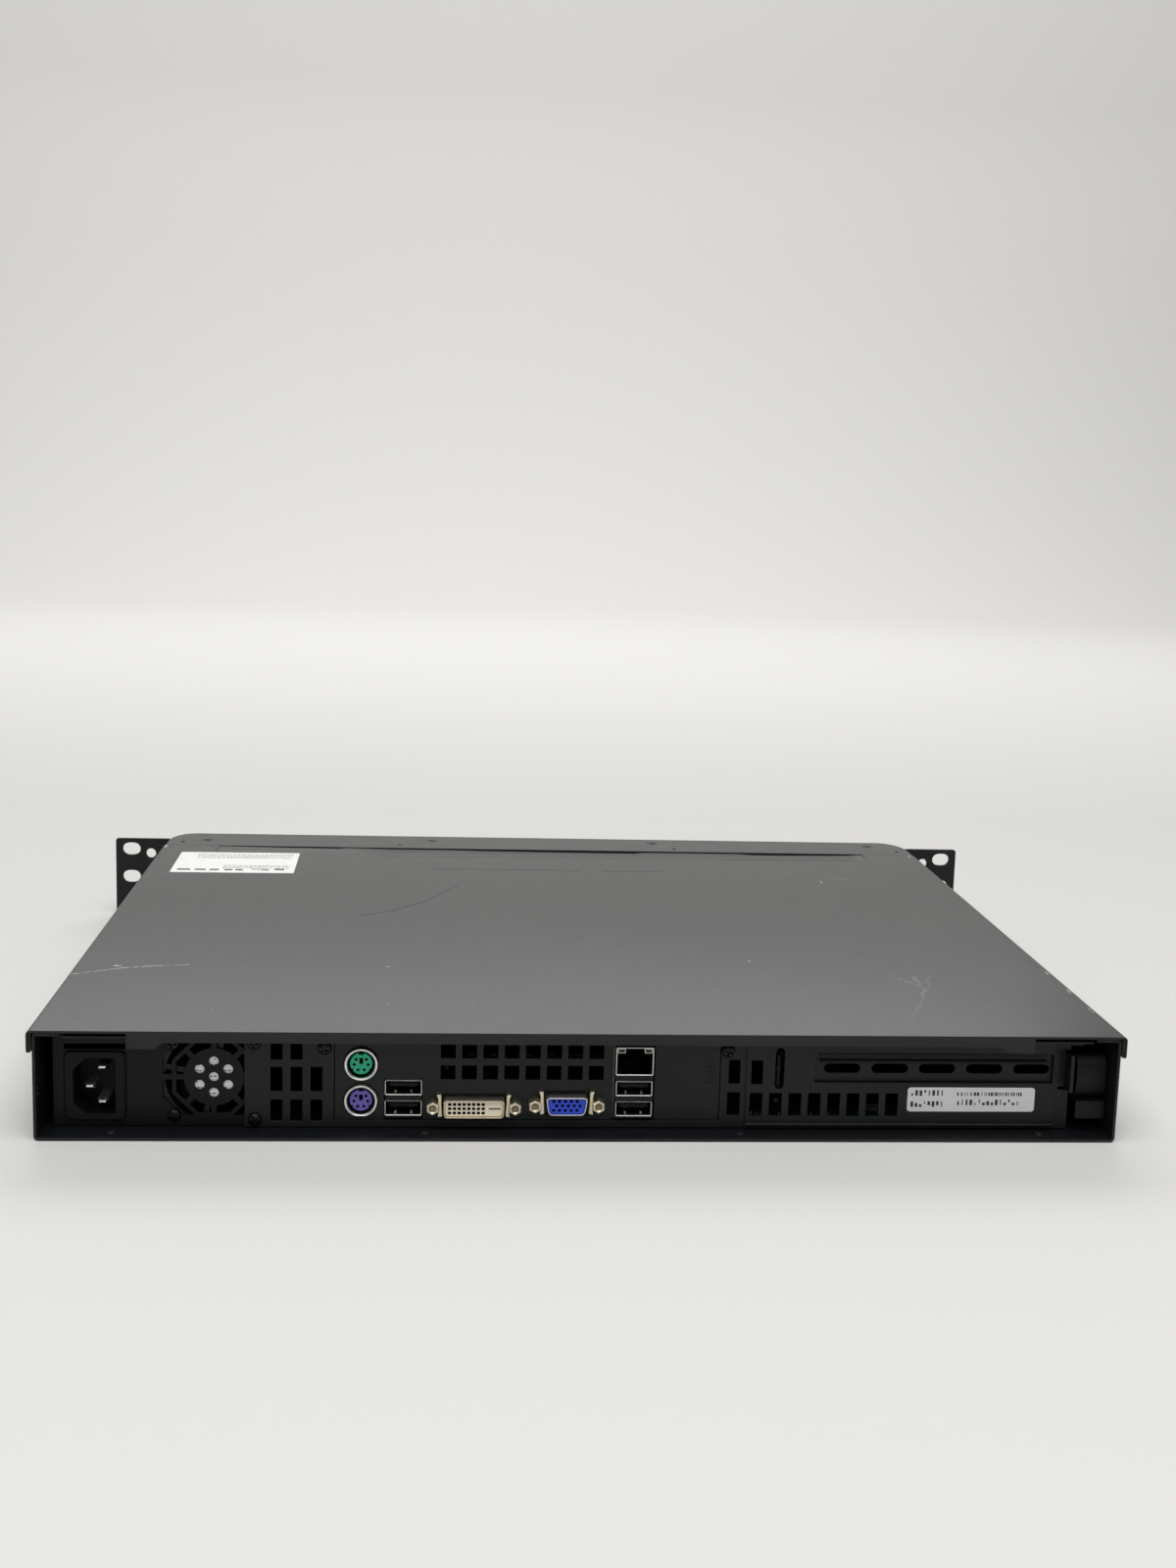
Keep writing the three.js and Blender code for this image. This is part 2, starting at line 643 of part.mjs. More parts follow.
function grilleCuts(centre, span) {
  const ring = (outline, inner) => cut(prism("xz", outline, span), inner);
  const octagon = (apothem) => polygon(centre, 2 * apothem, 8);
  const spokes = series(4, 0, 45).map((degrees) => {
    const bar = new THREE.BoxGeometry(50, 20, 2.2);
    bar.rotateY(THREE.MathUtils.degToRad(degrees));
    return solid(bar.translate(centre[0], (span[0] + span[1]) / 2, centre[1]));
  });
  const band = (low, high) =>
    block(
      [centre[0] - 25, centre[0] + 25],
      [span[0] - 1, span[1] + 1],
      [centre[1] + low, centre[1] + high],
    );
  const flat = 15.4; // the outer ring is cut off flat this far above and below the centre
  const innerRing = cut(ring(octagon(14.4), rod("xz", centre, 11.6, span, 24)), spokes);
  const outerRing = cut(
    ring(octagon(19.6), prism("xz", octagon(16), span)),
    band(-1.1, 1.1),
    band(flat, 30),
    band(-30, -flat),
  );
  const holes = [
    [0, 0],
    ...arc([0, 0], [6.3, 6.3], 30, 330, 5),
  ].map(([a, b]) => rod("xz", [centre[0] + a, centre[1] + b], 1.95, span, 10));
  return [innerRing, outerRing, ...holes];
}

function powerSupply() {
  const { x, y, z, sheet } = psu;
  const inletX = 189.6;
  const inletZ = 17.8;
  const outer = block(x, y, [z[0], z[1] - 1.2]);
  const inside = block(
    [x[0] + sheet, x[1] - sheet],
    [y[0] + sheet, y[1] - sheet],
    [z[0] + sheet, z[1] + 1],
  );
  const rearSpan = [y[1] - 3, y[1] + 1];
  const fanCentre = [psuFanCentre.x, psuFanCentre.z];
  const fanRoom = block(
    [psuFanCentre.x - 19.8, psuFanCentre.x + 19.8],
    [y[1] - sheet - 22, y[1] - sheet],
    [z[0] - 1, z[0] + 3],
  );
  const inletHole = block([inletX - 9.3, inletX + 9.3], rearSpan, [inletZ - 11.8, inletZ + 11.8]);
  const topSlot = block([inletX - 11.6, inletX + 11.6], rearSpan, [32.2, 34.4]);
  const frontVents = series(8, x[0] + 12, 4.4).map((vx) =>
    block([vx, vx + 2.2], [y[0] - 1, y[0] + 2], [10, 32]),
  );
  const cableHole = rod("xz", [x[1] - 18, 22], 6.6, [y[0] - 1, y[0] + 2], 16);
  const cuts = [inside, fanRoom, inletHole, topSlot, cableHole, ...grilleCuts(fanCentre, rearSpan)];
  piece("psu_case", cut(outer, cuts, frontVents), "bareSteel");

  const lid = join(
    block(x, y, [z[1] - 0.9, z[1]]),
    block([x[0] + sheet + gap, x[0] + sheet + 1.1], [y[0] + 4, y[1] - 26], [z[1] - 6, z[1] - 0.5]),
    block([x[1] - sheet - 1.1, x[1] - sheet - gap], [y[0] + 4, y[1] - 4], [z[1] - 6, z[1] - 0.5]),
  );
  const lidRoom = block(
    [psuFanCentre.x - 19.8, psuFanCentre.x + 19.8],
    [y[1] - sheet - 22, y[1] - sheet],
    [z[1] - 2, z[1] + 1],
  );
  piece("psu_cover", cut(lid, lidRoom), "bareSteel");

  const fanGroup = new THREE.Group();
  fanGroup.position.set(psuFanCentre.x, y[1] - sheet - gap, psuFanCentre.z);
  fanGroup.rotation.x = Math.PI / 2;
  object.add(fanGroup);
  fan(smallFan, "psu_fan", fanGroup);

  inlet(inletX, inletZ, y[1]);
  supplyBoard();
}

// The mains inlet, turned a quarter so that the earth blade is towards the ear.
function inlet(x, z, wallY) {
  const flange = block([x - 11.7, x + 11.7], [wallY + gap, wallY + 1.6], [z - 13.8, z + 13.8]);
  const body = block([x - 9, x + 9], [wallY - 16, wallY + 1], [z - 11.5, z + 11.5]);
  const recess = [
    [x - 7.9, z - 11.2],
    [x + 3.2, z - 11.2],
    [x + 8.1, z - 6.6],
    [x + 8.1, z + 6.6],
    [x + 3.2, z + 11.2],
    [x - 7.9, z + 11.2],
  ];
  const hollow = prism("xz", recess, [wallY - 14, wallY + 3]);
  const blades = [
    [x + 2.2, z],
    [x - 3.2, z + 7],
    [x - 3.2, z - 7],
  ].map(([bx, bz]) => block([bx - 2, bx + 2], [wallY - 15, wallY - 2], [bz - 1, bz + 1]));
  piece("psu_inlet", join(cut(join(flange, body), hollow), blades), "blackPlastic");
}

function supplyBoard() {
  const { x, y } = psu;
  const top = 7.6;
  const parts = [
    block([x[0] + 3, x[1] - 3], [y[0] + 4, y[1] - 26], [6, top]),
    block([136, 160], [80, 108], [top - 0.2, 31]),
    block([166, 169], [50, 130], [top - 0.2, 34]),
    block([190, 193], [50, 118], [top - 0.2, 34]),
    ...[
      [182, 138, 7],
      [146, 134, 8],
      [135, 60, 5],
      [150, 60, 5],
    ].map(([cx, cy, r]) => rod("xy", [cx, cy], r, [top - 0.2, 30], 16)),
  ];
  piece("psu_board", join(parts), "boardGreen");
}

// ---------------------------------------------------------------- main board and what stands on it

const cpu = { x: 8, y: 78, socketTop: 13 };
const memoryY = [-14, -24];

function mainBoard() {
  const sheet = block(board.x, board.y, [board.bottom, board.top]);
  const sit = board.top - 0.2;
  const socket = block([cpu.x - 21, cpu.x + 21], [cpu.y - 21, cpu.y + 21], [sit, cpu.socketTop]);
  const cardSlots = series(4, -68, -20.3).map((x) => block([x - 4, x + 4], [40, 125], [sit, 16]));
  const memorySlots = memoryY.map((y) =>
    cut(
      block([-42, 96], [y - 3.2, y + 3.2], [sit, 14]),
      block([-38, 92], [y - 1.1, y + 1.1], [8.4, 15]),
    ),
  );
  const powerSocket = block([82, 91], [2, 54], [sit, 17]);
  const dataSockets = series(4, -70, -14).map((x) => block([x - 6, x + 6], [-48, -42], [sit, 13.5]));
  const chips = [block([-100, -84], [-20, -4], [sit, 7]), block([-128, -112], [150, 166], [sit, 7])];
  const parts = [sheet, socket, cardSlots, memorySlots, powerSocket, dataSockets, chips];
  piece("motherboard", join(...parts.flat()), "boardGreen");
}

function heatsink(name, [x, y], [width, length], [bottom, baseTop, top], finCount) {
  const base = block([x - width / 2, x + width / 2], [y - length / 2, y + length / 2], [bottom, baseTop]);
  const pitch = (width - 1.2) / (finCount - 1);
  const fins = series(finCount, x - width / 2, pitch).map((fx) =>
    block([fx, fx + 1.2], [y - length / 2, y + length / 2], [baseTop - 0.2, top]),
  );
  piece(name, join(base, fins), "aluminium");
}

function coolers() {
  heatsink("cpu_heatsink", [cpu.x, cpu.y], [76, 70], [cpu.socketTop + gap, 16.6, 29.6], 15);
  heatsink("chipset_heatsink", [-30, 16], [34, 34], [board.top + gap, 8, 20], 9);
  const fanGroup = new THREE.Group();
  fanGroup.position.set(cpu.x, cpu.y, 40.2);
  fanGroup.rotation.x = Math.PI;
  object.add(fanGroup);
  fan(cpuFan, "cpu_fan", fanGroup);
}

function memoryModules() {
  memoryY.forEach((y, i) => {
    const sheet = block([-37.7, 91.7], [y - 0.6, y + 0.6], [8.8, 36]);
    const chips = series(8, -29, 15.6).map((x) => block([x - 5, x + 5], [y - 1.8, y + 1.8], [18, 31]));
    piece(`memory_module_${i + 1}`, join(sheet, chips), "boardGreen");
  });
}

// ---------------------------------------------------------------- storage, chassis fan, front boards

function storage() {
  const drive = { x: [-203.5, -56.5], y: [-165, -63.4], z: [5.5, 31.6] };
  const body = block(drive.x, drive.y, drive.z);
  const rim = 8;
  const waist = block(
    [drive.x[0] + rim, drive.x[1] - rim],
    [drive.y[0] + rim, drive.y[1] - rim],
    [drive.z[0] - 1, drive.z[0] + 3],
  );
  const socket = block([drive.x[1] - 6, drive.x[1] + 1], [-140, -98], [drive.z[0] - 1, drive.z[0] + 6.8]);
  piece("hard_drive", cut(body, waist, socket), "aluminium");

  const floorZ = [floorTop + gap, floorTop + gap + 1];
  const rails = [
    block([drive.x[0] - 1.5, drive.x[1] + 1.5], [drive.y[0] + 6, drive.y[1] - 2], floorZ),
    block([drive.x[0] - 1.5, drive.x[0] - gap], [drive.y[0] + 6, drive.y[1] - 2], [floorZ[0], 20]),
    block([drive.x[0], drive.x[1]], [drive.y[1] + gap, drive.y[1] + 1.4], [floorZ[0], 24]),
    block([drive.x[0], drive.x[1]], [drive.y[1] - 4, drive.y[1] + 1], floorZ),
  ];
  piece("drive_bracket", join(rails), "bareSteel");
}

function chassisFan() {
  const fanGroup = new THREE.Group();
  fanGroup.position.set(20, -76, 21.1);
  fanGroup.rotation.x = -Math.PI / 2;
  object.add(fanGroup);
  fan(smallFan, "chassis_fan", fanGroup);
}

function frontElectronics() {
  const sheetTop = front.z - 7.2;
  const [first, last] = front.lan;
  const sheet = block([first.x - 12, last.x + 12], [bezelFace + 3, -120], [sheetTop - 1.6, sheetTop]);
  const chips = [block([140, 156], [-150, -134], [sheetTop - 0.2, sheetTop + 2])];
  const sockets = [block([first.x - 8, last.x + 8], [-128, -121], [sheetTop - 0.2, sheetTop + 6])];
  const feet = [first.x - 8, last.x + 8].map((x) =>
    rod("xy", [x, -140], 2.5, [floorTop + gap, sheetTop - 1.4], 12),
  );
  piece("port_board", join(sheet, ...chips, ...sockets, ...feet), "boardGreen");

  front.lan.forEach(({ x }, i) => {
    const y = -rearEdge + 0.4;
    const shell = block([x - 8, x + 8], [y, y + 21], [sheetTop + gap, front.z + 6.7]);
    const jack = block([x - 5.9, x + 5.9], [y - 1, y + 13], [front.z - 4.4, front.z + 2.6]);
    const latch = block([x - 3.2, x + 3.2], [y - 1, y + 13], [front.z + 2.4, front.z + 4.8]);
    piece(`front_lan_jack_${i + 1}`, cut(shell, jack, latch), "nickel");
  });

  const ledY = [-163.6, -162];
  const ledSheet = block([56, 125.4], ledY, [9, 35]);
  const leds = front.lights.map((x) => rod("xz", [x, front.z], 1.6, [ledY[0] - 2.4, ledY[0] + 0.2], 8));
  const switches = [front.power, front.reset].map((x) =>
    block([x - 3, x + 3], [ledY[0] - 3.4, ledY[0] + 0.2], [front.z - 3, front.z + 3]),
  );
  const header = block([70, 90], [ledY[1] - 0.2, ledY[1] + 4], [12, 18]);
  const footZ = floorTop + tray.sheet + 2 * gap;
  const tab = block([56, 125.4], [ledY[0], ledY[1] + 8], [footZ, footZ + 1]);
  const posts = [60, 121].map((x) => block([x - 3, x + 3], ledY, [footZ, 9.2]));
  piece("led_board", join(ledSheet, ...leds, ...switches, header, tab, ...posts), "boardGreen");

  front.lights.forEach((x, i) => {
    const pipe = join(
      rod("xz", [x, front.z], 1.5, [bezelFace - 0.4, ledY[0] - 2.7], 8),
      rod("xz", [x, front.z], 2.6, [bezelFace + bezel.wall + gap, bezelFace + bezel.wall + 1.4], 8),
    );
    piece(`light_pipe_${i + 1}`, pipe, "clearPlastic");
  });

  const stemEnd = ledY[0] - 3.4 - gap;
  const collar = [bezelFace + bezel.wall + gap, bezelFace + bezel.wall + 1.5];
  const powerTravel = 1.5;
  const power = join(
    prism("xz", rectangle([front.power, front.z], 8, 5), [-rearEdge, collar[1]]),
    prism("xz", rectangle([front.power, front.z], 10.4, 7.4), collar),
    rod("xz", [front.power, front.z], 1.8, [collar[0], stemEnd - powerTravel], 12),
  );
  piece("power_button", power, "blackPlastic");
  const resetTravel = 1;
  const reset = join(
    rod("xz", [front.reset, front.z], 1.5, [bezelFace + 0.3, stemEnd - resetTravel], 10),
    rod("xz", [front.reset, front.z], 2.7, collar, 10),
  );
  piece("reset_button", reset, "blackPlastic");
}

// ---------------------------------------------------------------- leads inside the case

function leads() {
  const powerRoute = [
    [187.5, 27.6, 22],
    [187.5, 18, 21.5],
    [178, 2, 19],
    [150, -8, 18],
    [118, -2, 18],
    [104, 12, 20],
    [96, 24, 23],
    [89, 28, 24],
    [86.5, 28.5, 21],
    [86.5, 28.5, 17.4],
  ];
  piece("atx_power_cable", lead(powerRoute, 9, 9, 20), "cableBlack");
  const dataRoute = [
    [-60.2, -110, 9.4],
    [-48, -110, 9.4],
    [-38, -102, 12],
    [-34, -84, 17],
    [-38, -66, 22],
    [-52, -54, 23],
    [-66, -48, 21],
    [-70, -45, 17.5],
    [-70, -45, 13.9],
  ];
  piece("drive_data_cable", lead(dataRoute, 6, 2.2, 22), "cableRed");
  const drivePowerRoute = [
    [187.5, 18, 12.5],
    [180, -4, 11],
    [166, -40, 9],
    [130, -92, 8],
    [80, -108, 8],
    [20, -112, 8],
    [-30, -126, 8.6],
    [-46, -128, 9.4],
    [-60.2, -128, 9.4],
  ];
  piece("drive_power_cable", lead(drivePowerRoute, 4.4, 4.4, 30), "cableBlack");
  const frontRoute = [
    [80, -157.4, 15],
    [80, -150, 15],
    [76, -136, 14],
    [66, -124, 16],
    [60, -96, 17],
    [60, -70, 16],
    [56, -56, 13],
    [52, -46, 8],
    [52, -42, 6.6],
  ];
  piece("front_panel_lead", lead(frontRoute, 5, 2.4, 22), "cableBlack");
  const portRoute = [
    [148, -120.4, 19],
    [148, -110, 19],
    [142, -92, 18],
    [120, -72, 16],
    [104, -56, 14],
    [94, -46, 10],
    [90, -42, 6.8],
  ];
  piece("port_board_lead", lead(portRoute, 10, 2, 18), "cableBlack");
}

baseTray();
topCover();
frontBezel();
frontPanel();
rackEar(-1);
rackEar(1);
rearPanel();
ioShield();
slotCover();
slotRetainer();
ps2Stack();
usbStack();
lanUsbStack();
videoSocket(dviSocket);
videoSocket(vgaSocket);
powerSupply();
mainBoard();
coolers();
memoryModules();
storage();
chassisFan();
frontElectronics();
leads();

export default object;
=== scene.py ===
"""Looks of a one-unit rack firewall appliance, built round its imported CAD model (Blender 4.5).

Sizes are millimetres of the CAD frame unless a name says otherwise: +Z up, the front faces -Y
and the connectors face +Y. Meshes are stored in metres.
"""

import math
import random

import bmesh
import bpy
from mathutils import Matrix, Vector


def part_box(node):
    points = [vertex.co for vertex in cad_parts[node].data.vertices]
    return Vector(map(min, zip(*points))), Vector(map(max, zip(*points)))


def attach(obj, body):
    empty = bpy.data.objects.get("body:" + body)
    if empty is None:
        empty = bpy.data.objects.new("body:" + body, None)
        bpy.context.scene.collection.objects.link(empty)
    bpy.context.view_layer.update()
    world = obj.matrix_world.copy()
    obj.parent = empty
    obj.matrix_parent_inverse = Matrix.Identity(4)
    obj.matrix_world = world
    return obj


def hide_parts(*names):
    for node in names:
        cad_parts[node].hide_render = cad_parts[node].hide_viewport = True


MM = 0.001
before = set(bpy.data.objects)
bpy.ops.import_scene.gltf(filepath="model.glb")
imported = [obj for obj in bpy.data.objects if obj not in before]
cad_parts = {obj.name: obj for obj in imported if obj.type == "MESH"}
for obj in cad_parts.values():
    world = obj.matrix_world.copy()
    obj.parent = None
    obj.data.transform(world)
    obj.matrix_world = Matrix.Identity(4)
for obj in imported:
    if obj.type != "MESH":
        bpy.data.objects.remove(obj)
bpy.context.view_layer.update()


# ---------------------------------------------------------------- camera, floor and light


def photograph_camera():
    """The camera, at the place, tilt and focal length from which the object is seen."""
    place = Vector((57.5, 891.8, 259.9)) * MM
    heading, tilt, roll = math.radians(180 - 4.713), math.radians(90 - 9.464), math.radians(1.753)
    turn = Matrix.Rotation(heading, 4, "Z") @ Matrix.Rotation(tilt, 4, "X")
    data = bpy.data.cameras.new("camera")
    data.lens = 43.48
    data.shift_x, data.shift_y = -0.0064, -0.0028
    camera = bpy.data.objects.new("camera", data)
    camera.matrix_world = Matrix.Translation(place) @ turn @ Matrix.Rotation(roll, 4, "Z")
    bpy.context.scene.collection.objects.link(camera)
    bpy.context.scene.camera = camera


def area_light(name, place, target, size, power):
    data = bpy.data.lights.new(name, "AREA")
    data.shape = "RECTANGLE"
    data.size, data.size_y = size
    data.energy = power
    light = bpy.data.objects.new(name, data)
    light.location = place
    light.rotation_euler = (Vector(target) - Vector(place)).to_track_quat("-Z", "Y").to_euler()
    bpy.context.scene.collection.objects.link(light)


def studio():
    """A pale seamless floor that curves up behind the object, under large soft lights, in metres."""
    half_width, front, back, bend, rise, steps = 5.0, 4.0, -2.4, 0.7, 3.2, 16
    profile = [(front, 0.0), (back, 0.0)]
    for i in range(1, steps + 1):
        angle = math.radians(90 * i / steps)
        profile.append((back - bend * math.sin(angle), bend * (1 - math.cos(angle))))
    profile.append((back - bend, rise))
    mesh = bpy.data.meshes.new("studio_floor")
    points = [(side * half_width, y, z) for y, z in profile for side in (-1, 1)]
    faces = [(2 * i, 2 * i + 1, 2 * i + 3, 2 * i + 2) for i in range(len(profile) - 1)]
    mesh.from_pydata(points, [], faces)
    mesh.shade_smooth()
    floor = bpy.data.objects.new("studio_floor", mesh)
    paper = Shader("studio_paper", Base_Color=tone("#e2e1de"), Roughness=0.9)
    mesh.materials.append(paper.material)
    bpy.context.scene.collection.objects.link(floor)

    world = bpy.data.worlds.new("studio")
    world.use_nodes = True
    background = world.node_tree.nodes["Background"]
    background.inputs["Color"].default_value = (1, 1, 0.99, 1)
    background.inputs["Strength"].default_value = 0.16
    bpy.context.scene.world = world
    area_light("overhead", (0.0, 1.0, 2.3), (0, 0.5, 0), (3.0, 1.8), 45)
    area_light("back_softbox", (0.0, -2.3, 1.95), (0, 0, 0), (2.7, 1.1), 31)
    area_light("camera_side", (0.1, 1.9, 1.3), (0, -0.3, 0.1), (1.9, 1.1), 10.5)
    area_light("backdrop_wash", (0, -0.7, 2.3), (0, -3.1, 2.1), (4.4, 0.8), 44)
    bpy.context.scene.view_settings.view_transform = "Standard"


# ---------------------------------------------------------------- materials


def tone(code):
    """A linear colour from a web colour code."""
    parts = [int(code[i : i + 2], 16) / 255 for i in (1, 3, 5)]
    return (*[p / 12.92 if p <= 0.04045 else ((p + 0.055) / 1.055) ** 2.4 for p in parts], 1)


class Shader:
    """A material under construction. Its textures go by the object's own coordinates, in metres."""

    def __init__(self, name, **surface):
        self.material = bpy.data.materials.new(name)
        self.material.use_nodes = True
        self.tree = self.material.node_tree
        self.surface = self.tree.nodes["Principled BSDF"]
        self.where = self.add("TexCoord", out="Object")
        self.shake = None
        self.set(**surface)

    def set(self, **surface):
        for socket, value in surface.items():
            self.connect(self.surface.inputs[socket.replace("_", " ")], value)
        return self

    def connect(self, socket, value):
        if isinstance(value, bpy.types.NodeSocket):
            self.tree.links.new(value, socket)
        else:
            socket.default_value = value

    def add(self, kind, inputs=None, out=0, **settings):
        node = self.tree.nodes.new("ShaderNode" + kind)
        for name, value in settings.items():
            setattr(node, name, value)
        for socket, value in (inputs or {}).items():
            self.connect(node.inputs[socket], value)
        return node.outputs[out]

    def noise(self, per_metre, detail=2.0, stretch=None):
        where = self.where
        if stretch:
            where = self.add("Mapping", {"Vector": where, "Scale": stretch})
        return self.add("TexNoise", {"Vector": where, "Scale": per_metre, "Detail": detail})

    def math(self, operation, a, b=0.0, c=0.0):
        return self.add("Math", {0: a, 1: b, 2: c}, operation=operation)

    def fit(self, value, low, high, to_low=0.0, to_high=1.0):
        ends = {"Value": value, "From Min": low, "From Max": high, "To Min": to_low, "To Max": to_high}
        return self.add("MapRange", ends)

    def mix(self, factor, a, b):
        return self.add("Mix", {0: factor, 6: a, 7: b}, out=2, data_type="RGBA")

    def relief(self, height, depth):
        """Bumps whose full height is depth millimetres."""
        bump = self.add("Bump", {"Height": height, "Distance": depth * MM, "Strength": 1.0})
        return self.set(Normal=bump)

    def near_line(self, start, end, half_width, waver):
        """1 on a stroke between two points of the top face, in millimetres, fading to 0 beside it."""
        start, end = Vector((*start, 0)) * MM, Vector((*end, 0)) * MM
        run = end - start
        moved = self.where
        if waver:
            if not self.shake:
                cloud = {"Vector": self.where, "Scale": 70.0, "Detail": 3.0}
                noise = self.add("TexNoise", cloud, out="Color")
                self.shake = self.add("VectorMath", {0: noise, 1: (0.5, 0.5, 0.5)}, operation="SUBTRACT")
            reach = (waver * MM,) * 3
            moved = self.add("VectorMath", {0: self.shake, 1: reach, 2: self.where}, operation="MULTIPLY_ADD")
        flat = self.add("VectorMath", {0: moved, 1: (1, 1, 0)}, operation="MULTIPLY")
        offset = self.add("VectorMath", {0: flat, 1: start}, operation="SUBTRACT")
        along = self.add("VectorMath", {0: offset, 1: run}, out="Value", operation="DOT_PRODUCT")
        share = self.add("Math", {0: along, 1: run.length_squared}, operation="DIVIDE", use_clamp=True)
        foot = self.add("VectorMath", {0: run, "Scale": share}, operation="SCALE")
        apart = self.add("VectorMath", {0: offset, 1: foot}, out="Value", operation="DISTANCE")
        return self.fit(apart, half_width * MM, 0.25 * half_width * MM)


def powder_coat(name, dark, light, roughness=0.46, marks=(), shine=0.5, ior=1.5, dust=0.0):
    """Fine-grained paint with a faint mottle, dust specks and rubbed strokes."""
    shader = Shader(name, Specular_IOR_Level=shine, IOR=ior)
    mottle = shader.fit(shader.noise(14, 4), 0.3, 0.7)
    grain = shader.noise(1250, 2)
    colour = shader.mix(mottle, tone(dark), tone(light))
    speck = shader.add("TexVoronoi", {"Vector": shader.where, "Scale": 55.0}, feature="F1")
    colour = shader.mix(shader.fit(speck, 0.028, 0.012, 0, dust), colour, tone("#b4b2ae"))
    rub = shader.fit(shader.noise(420, 3), 0.3, 0.52)
    rough = shader.fit(shader.noise(170, 5), 0.3, 0.7, roughness - 0.01, roughness + 0.015)
    rough = shader.math("MULTIPLY_ADD", grain, 0.05, rough)
    for start, end, half_width, strength, waver in marks:
        stroke = shader.math("MULTIPLY", shader.near_line(start, end, half_width, waver), abs(strength))
        broken = shader.math("MULTIPLY", stroke, rub)
        colour = shader.mix(broken, colour, tone("#d6d5d1" if strength > 0 else "#050505"))
        if strength < 0:
            rough = shader.math("MULTIPLY_ADD", stroke, 0.5, rough)
    shader.set(Base_Color=colour, Roughness=rough)
    return shader.relief(grain, 0.045).material


def metal(name, colour, roughness, grain_stretch=None, depth=0.008, tarnished=0.5):
    """Plated or bare metal with fine tooling grain and a little tarnish."""
    shader = Shader(name, Metallic=1.0)
    tarnish = shader.fit(shader.noise(120, 4), 0.35, 0.75, 0, tarnished)
    darker = [c * 0.62 for c in tone(colour)[:3]] + [1]
    shader.set(Base_Color=shader.mix(tarnish, tone(colour), darker))
    grain = shader.noise(900, 3, grain_stretch)
    shader.set(Roughness=shader.fit(grain, 0.3, 0.7, roughness - 0.07, roughness + 0.1))
    return shader.relief(grain, depth).material


def spangled_steel(name):
    """Zinc-plated sheet with a soft crystalline spangle."""
    shader = Shader(name, Metallic=1.0)
    crystal = shader.add("TexVoronoi", {"Vector": shader.where, "Scale": 380.0}, out="Color")
    shade = shader.fit(shader.add("SeparateColor", {0: crystal}), 0, 1, 0, 1)
    shader.set(Base_Color=shader.mix(shade, tone("#a0a4a6"), tone("#b9bdbf")))
    shader.set(Roughness=shader.fit(shade, 0, 1, 0.3, 0.46))
    return shader.relief(shader.noise(700, 3), 0.01).material


def moulded(name, colour, roughness=0.42, depth=0.015, shine=0.5):
    """Moulded plastic with a fine spark-eroded texture."""
    shader = Shader(name, Specular_IOR_Level=shine)
    cloud = shader.fit(shader.noise(90, 3), 0.35, 0.7, 0, 0.35)
    paler = [c * 0.85 + 0.004 for c in tone(colour)[:3]] + [1]
    shader.set(Base_Color=shader.mix(cloud, tone(colour), paler))
    texture = shader.noise(1100, 2)
    shader.set(Roughness=shader.fit(texture, 0.3, 0.7, roughness - 0.06, roughness + 0.08))
    return shader.relief(texture, depth).material


def circuit_board(name, mask, copper):
    """Solder mask over copper tracks, with plated holes here and there."""
    shader = Shader(name, Roughness=0.4, Specular_IOR_Level=0.35, Coat_Weight=0.08, Coat_Roughness=0.2)
    tracks = shader.add(
        "TexBrick",
        {"Vector": shader.where, "Scale": 260.0, "Mortar Size": 0.03, "Brick Width": 0.9, "Row Height": 0.3},
        out="Fac",
    )
    region = shader.fit(shader.noise(28, 1), 0.46, 0.54, 0, 0.75)
    lines = shader.math("MULTIPLY", tracks, region)
    colour = shader.mix(lines, tone(mask), tone(copper))
    hole = shader.add("TexVoronoi", {"Vector": shader.where, "Scale": 260.0}, feature="F1")
    pad = shader.fit(hole, 0.14, 0.1)
    pad = shader.math("MULTIPLY", pad, shader.fit(shader.noise(46, 1), 0.56, 0.62))
    colour = shader.mix(pad, colour, tone("#b9a56a"))
    shader.set(Base_Color=colour)
    return shader.relief(shader.math("ADD", lines, pad), 0.03).material


def braided(name, dark, light):
    """A woven sleeve."""
    shader = Shader(name, Roughness=0.55)
    one = shader.add("TexWave", {"Vector": shader.where, "Scale": 330.0}, bands_direction="DIAGONAL")
    flip = shader.add("Mapping", {"Vector": shader.where, "Scale": (1, -1, 1)})
    two = shader.add("TexWave", {"Vector": flip, "Scale": 330.0}, bands_direction="DIAGONAL")
    weave = shader.math("MAXIMUM", one, two)
    shader.set(Base_Color=shader.mix(weave, tone(dark), tone(light)))
    return shader.relief(weave, 0.12).material


def label_stock(name, colour, roughness=0.35):
    """Coated label paper with faint handling marks."""
    shader = Shader(name)
    smudge = shader.fit(shader.noise(75, 5), 0.45, 0.8, 0, 0.35)
    dull = [c * 0.86 for c in tone(colour)[:3]] + [1]
    shader.set(Base_Color=shader.mix(smudge, tone(colour), dull))
    shader.set(Roughness=shader.fit(shader.noise(160, 3), 0.3, 0.7, roughness - 0.08, roughness + 0.12))
    return shader.relief(shader.noise(500, 2), 0.006).material


def clear_plastic(name, colour):
    """A light pipe's frosted clear plastic."""
    return Shader(name, Base_Color=tone(colour), Roughness=0.12, Transmission_Weight=0.6).material


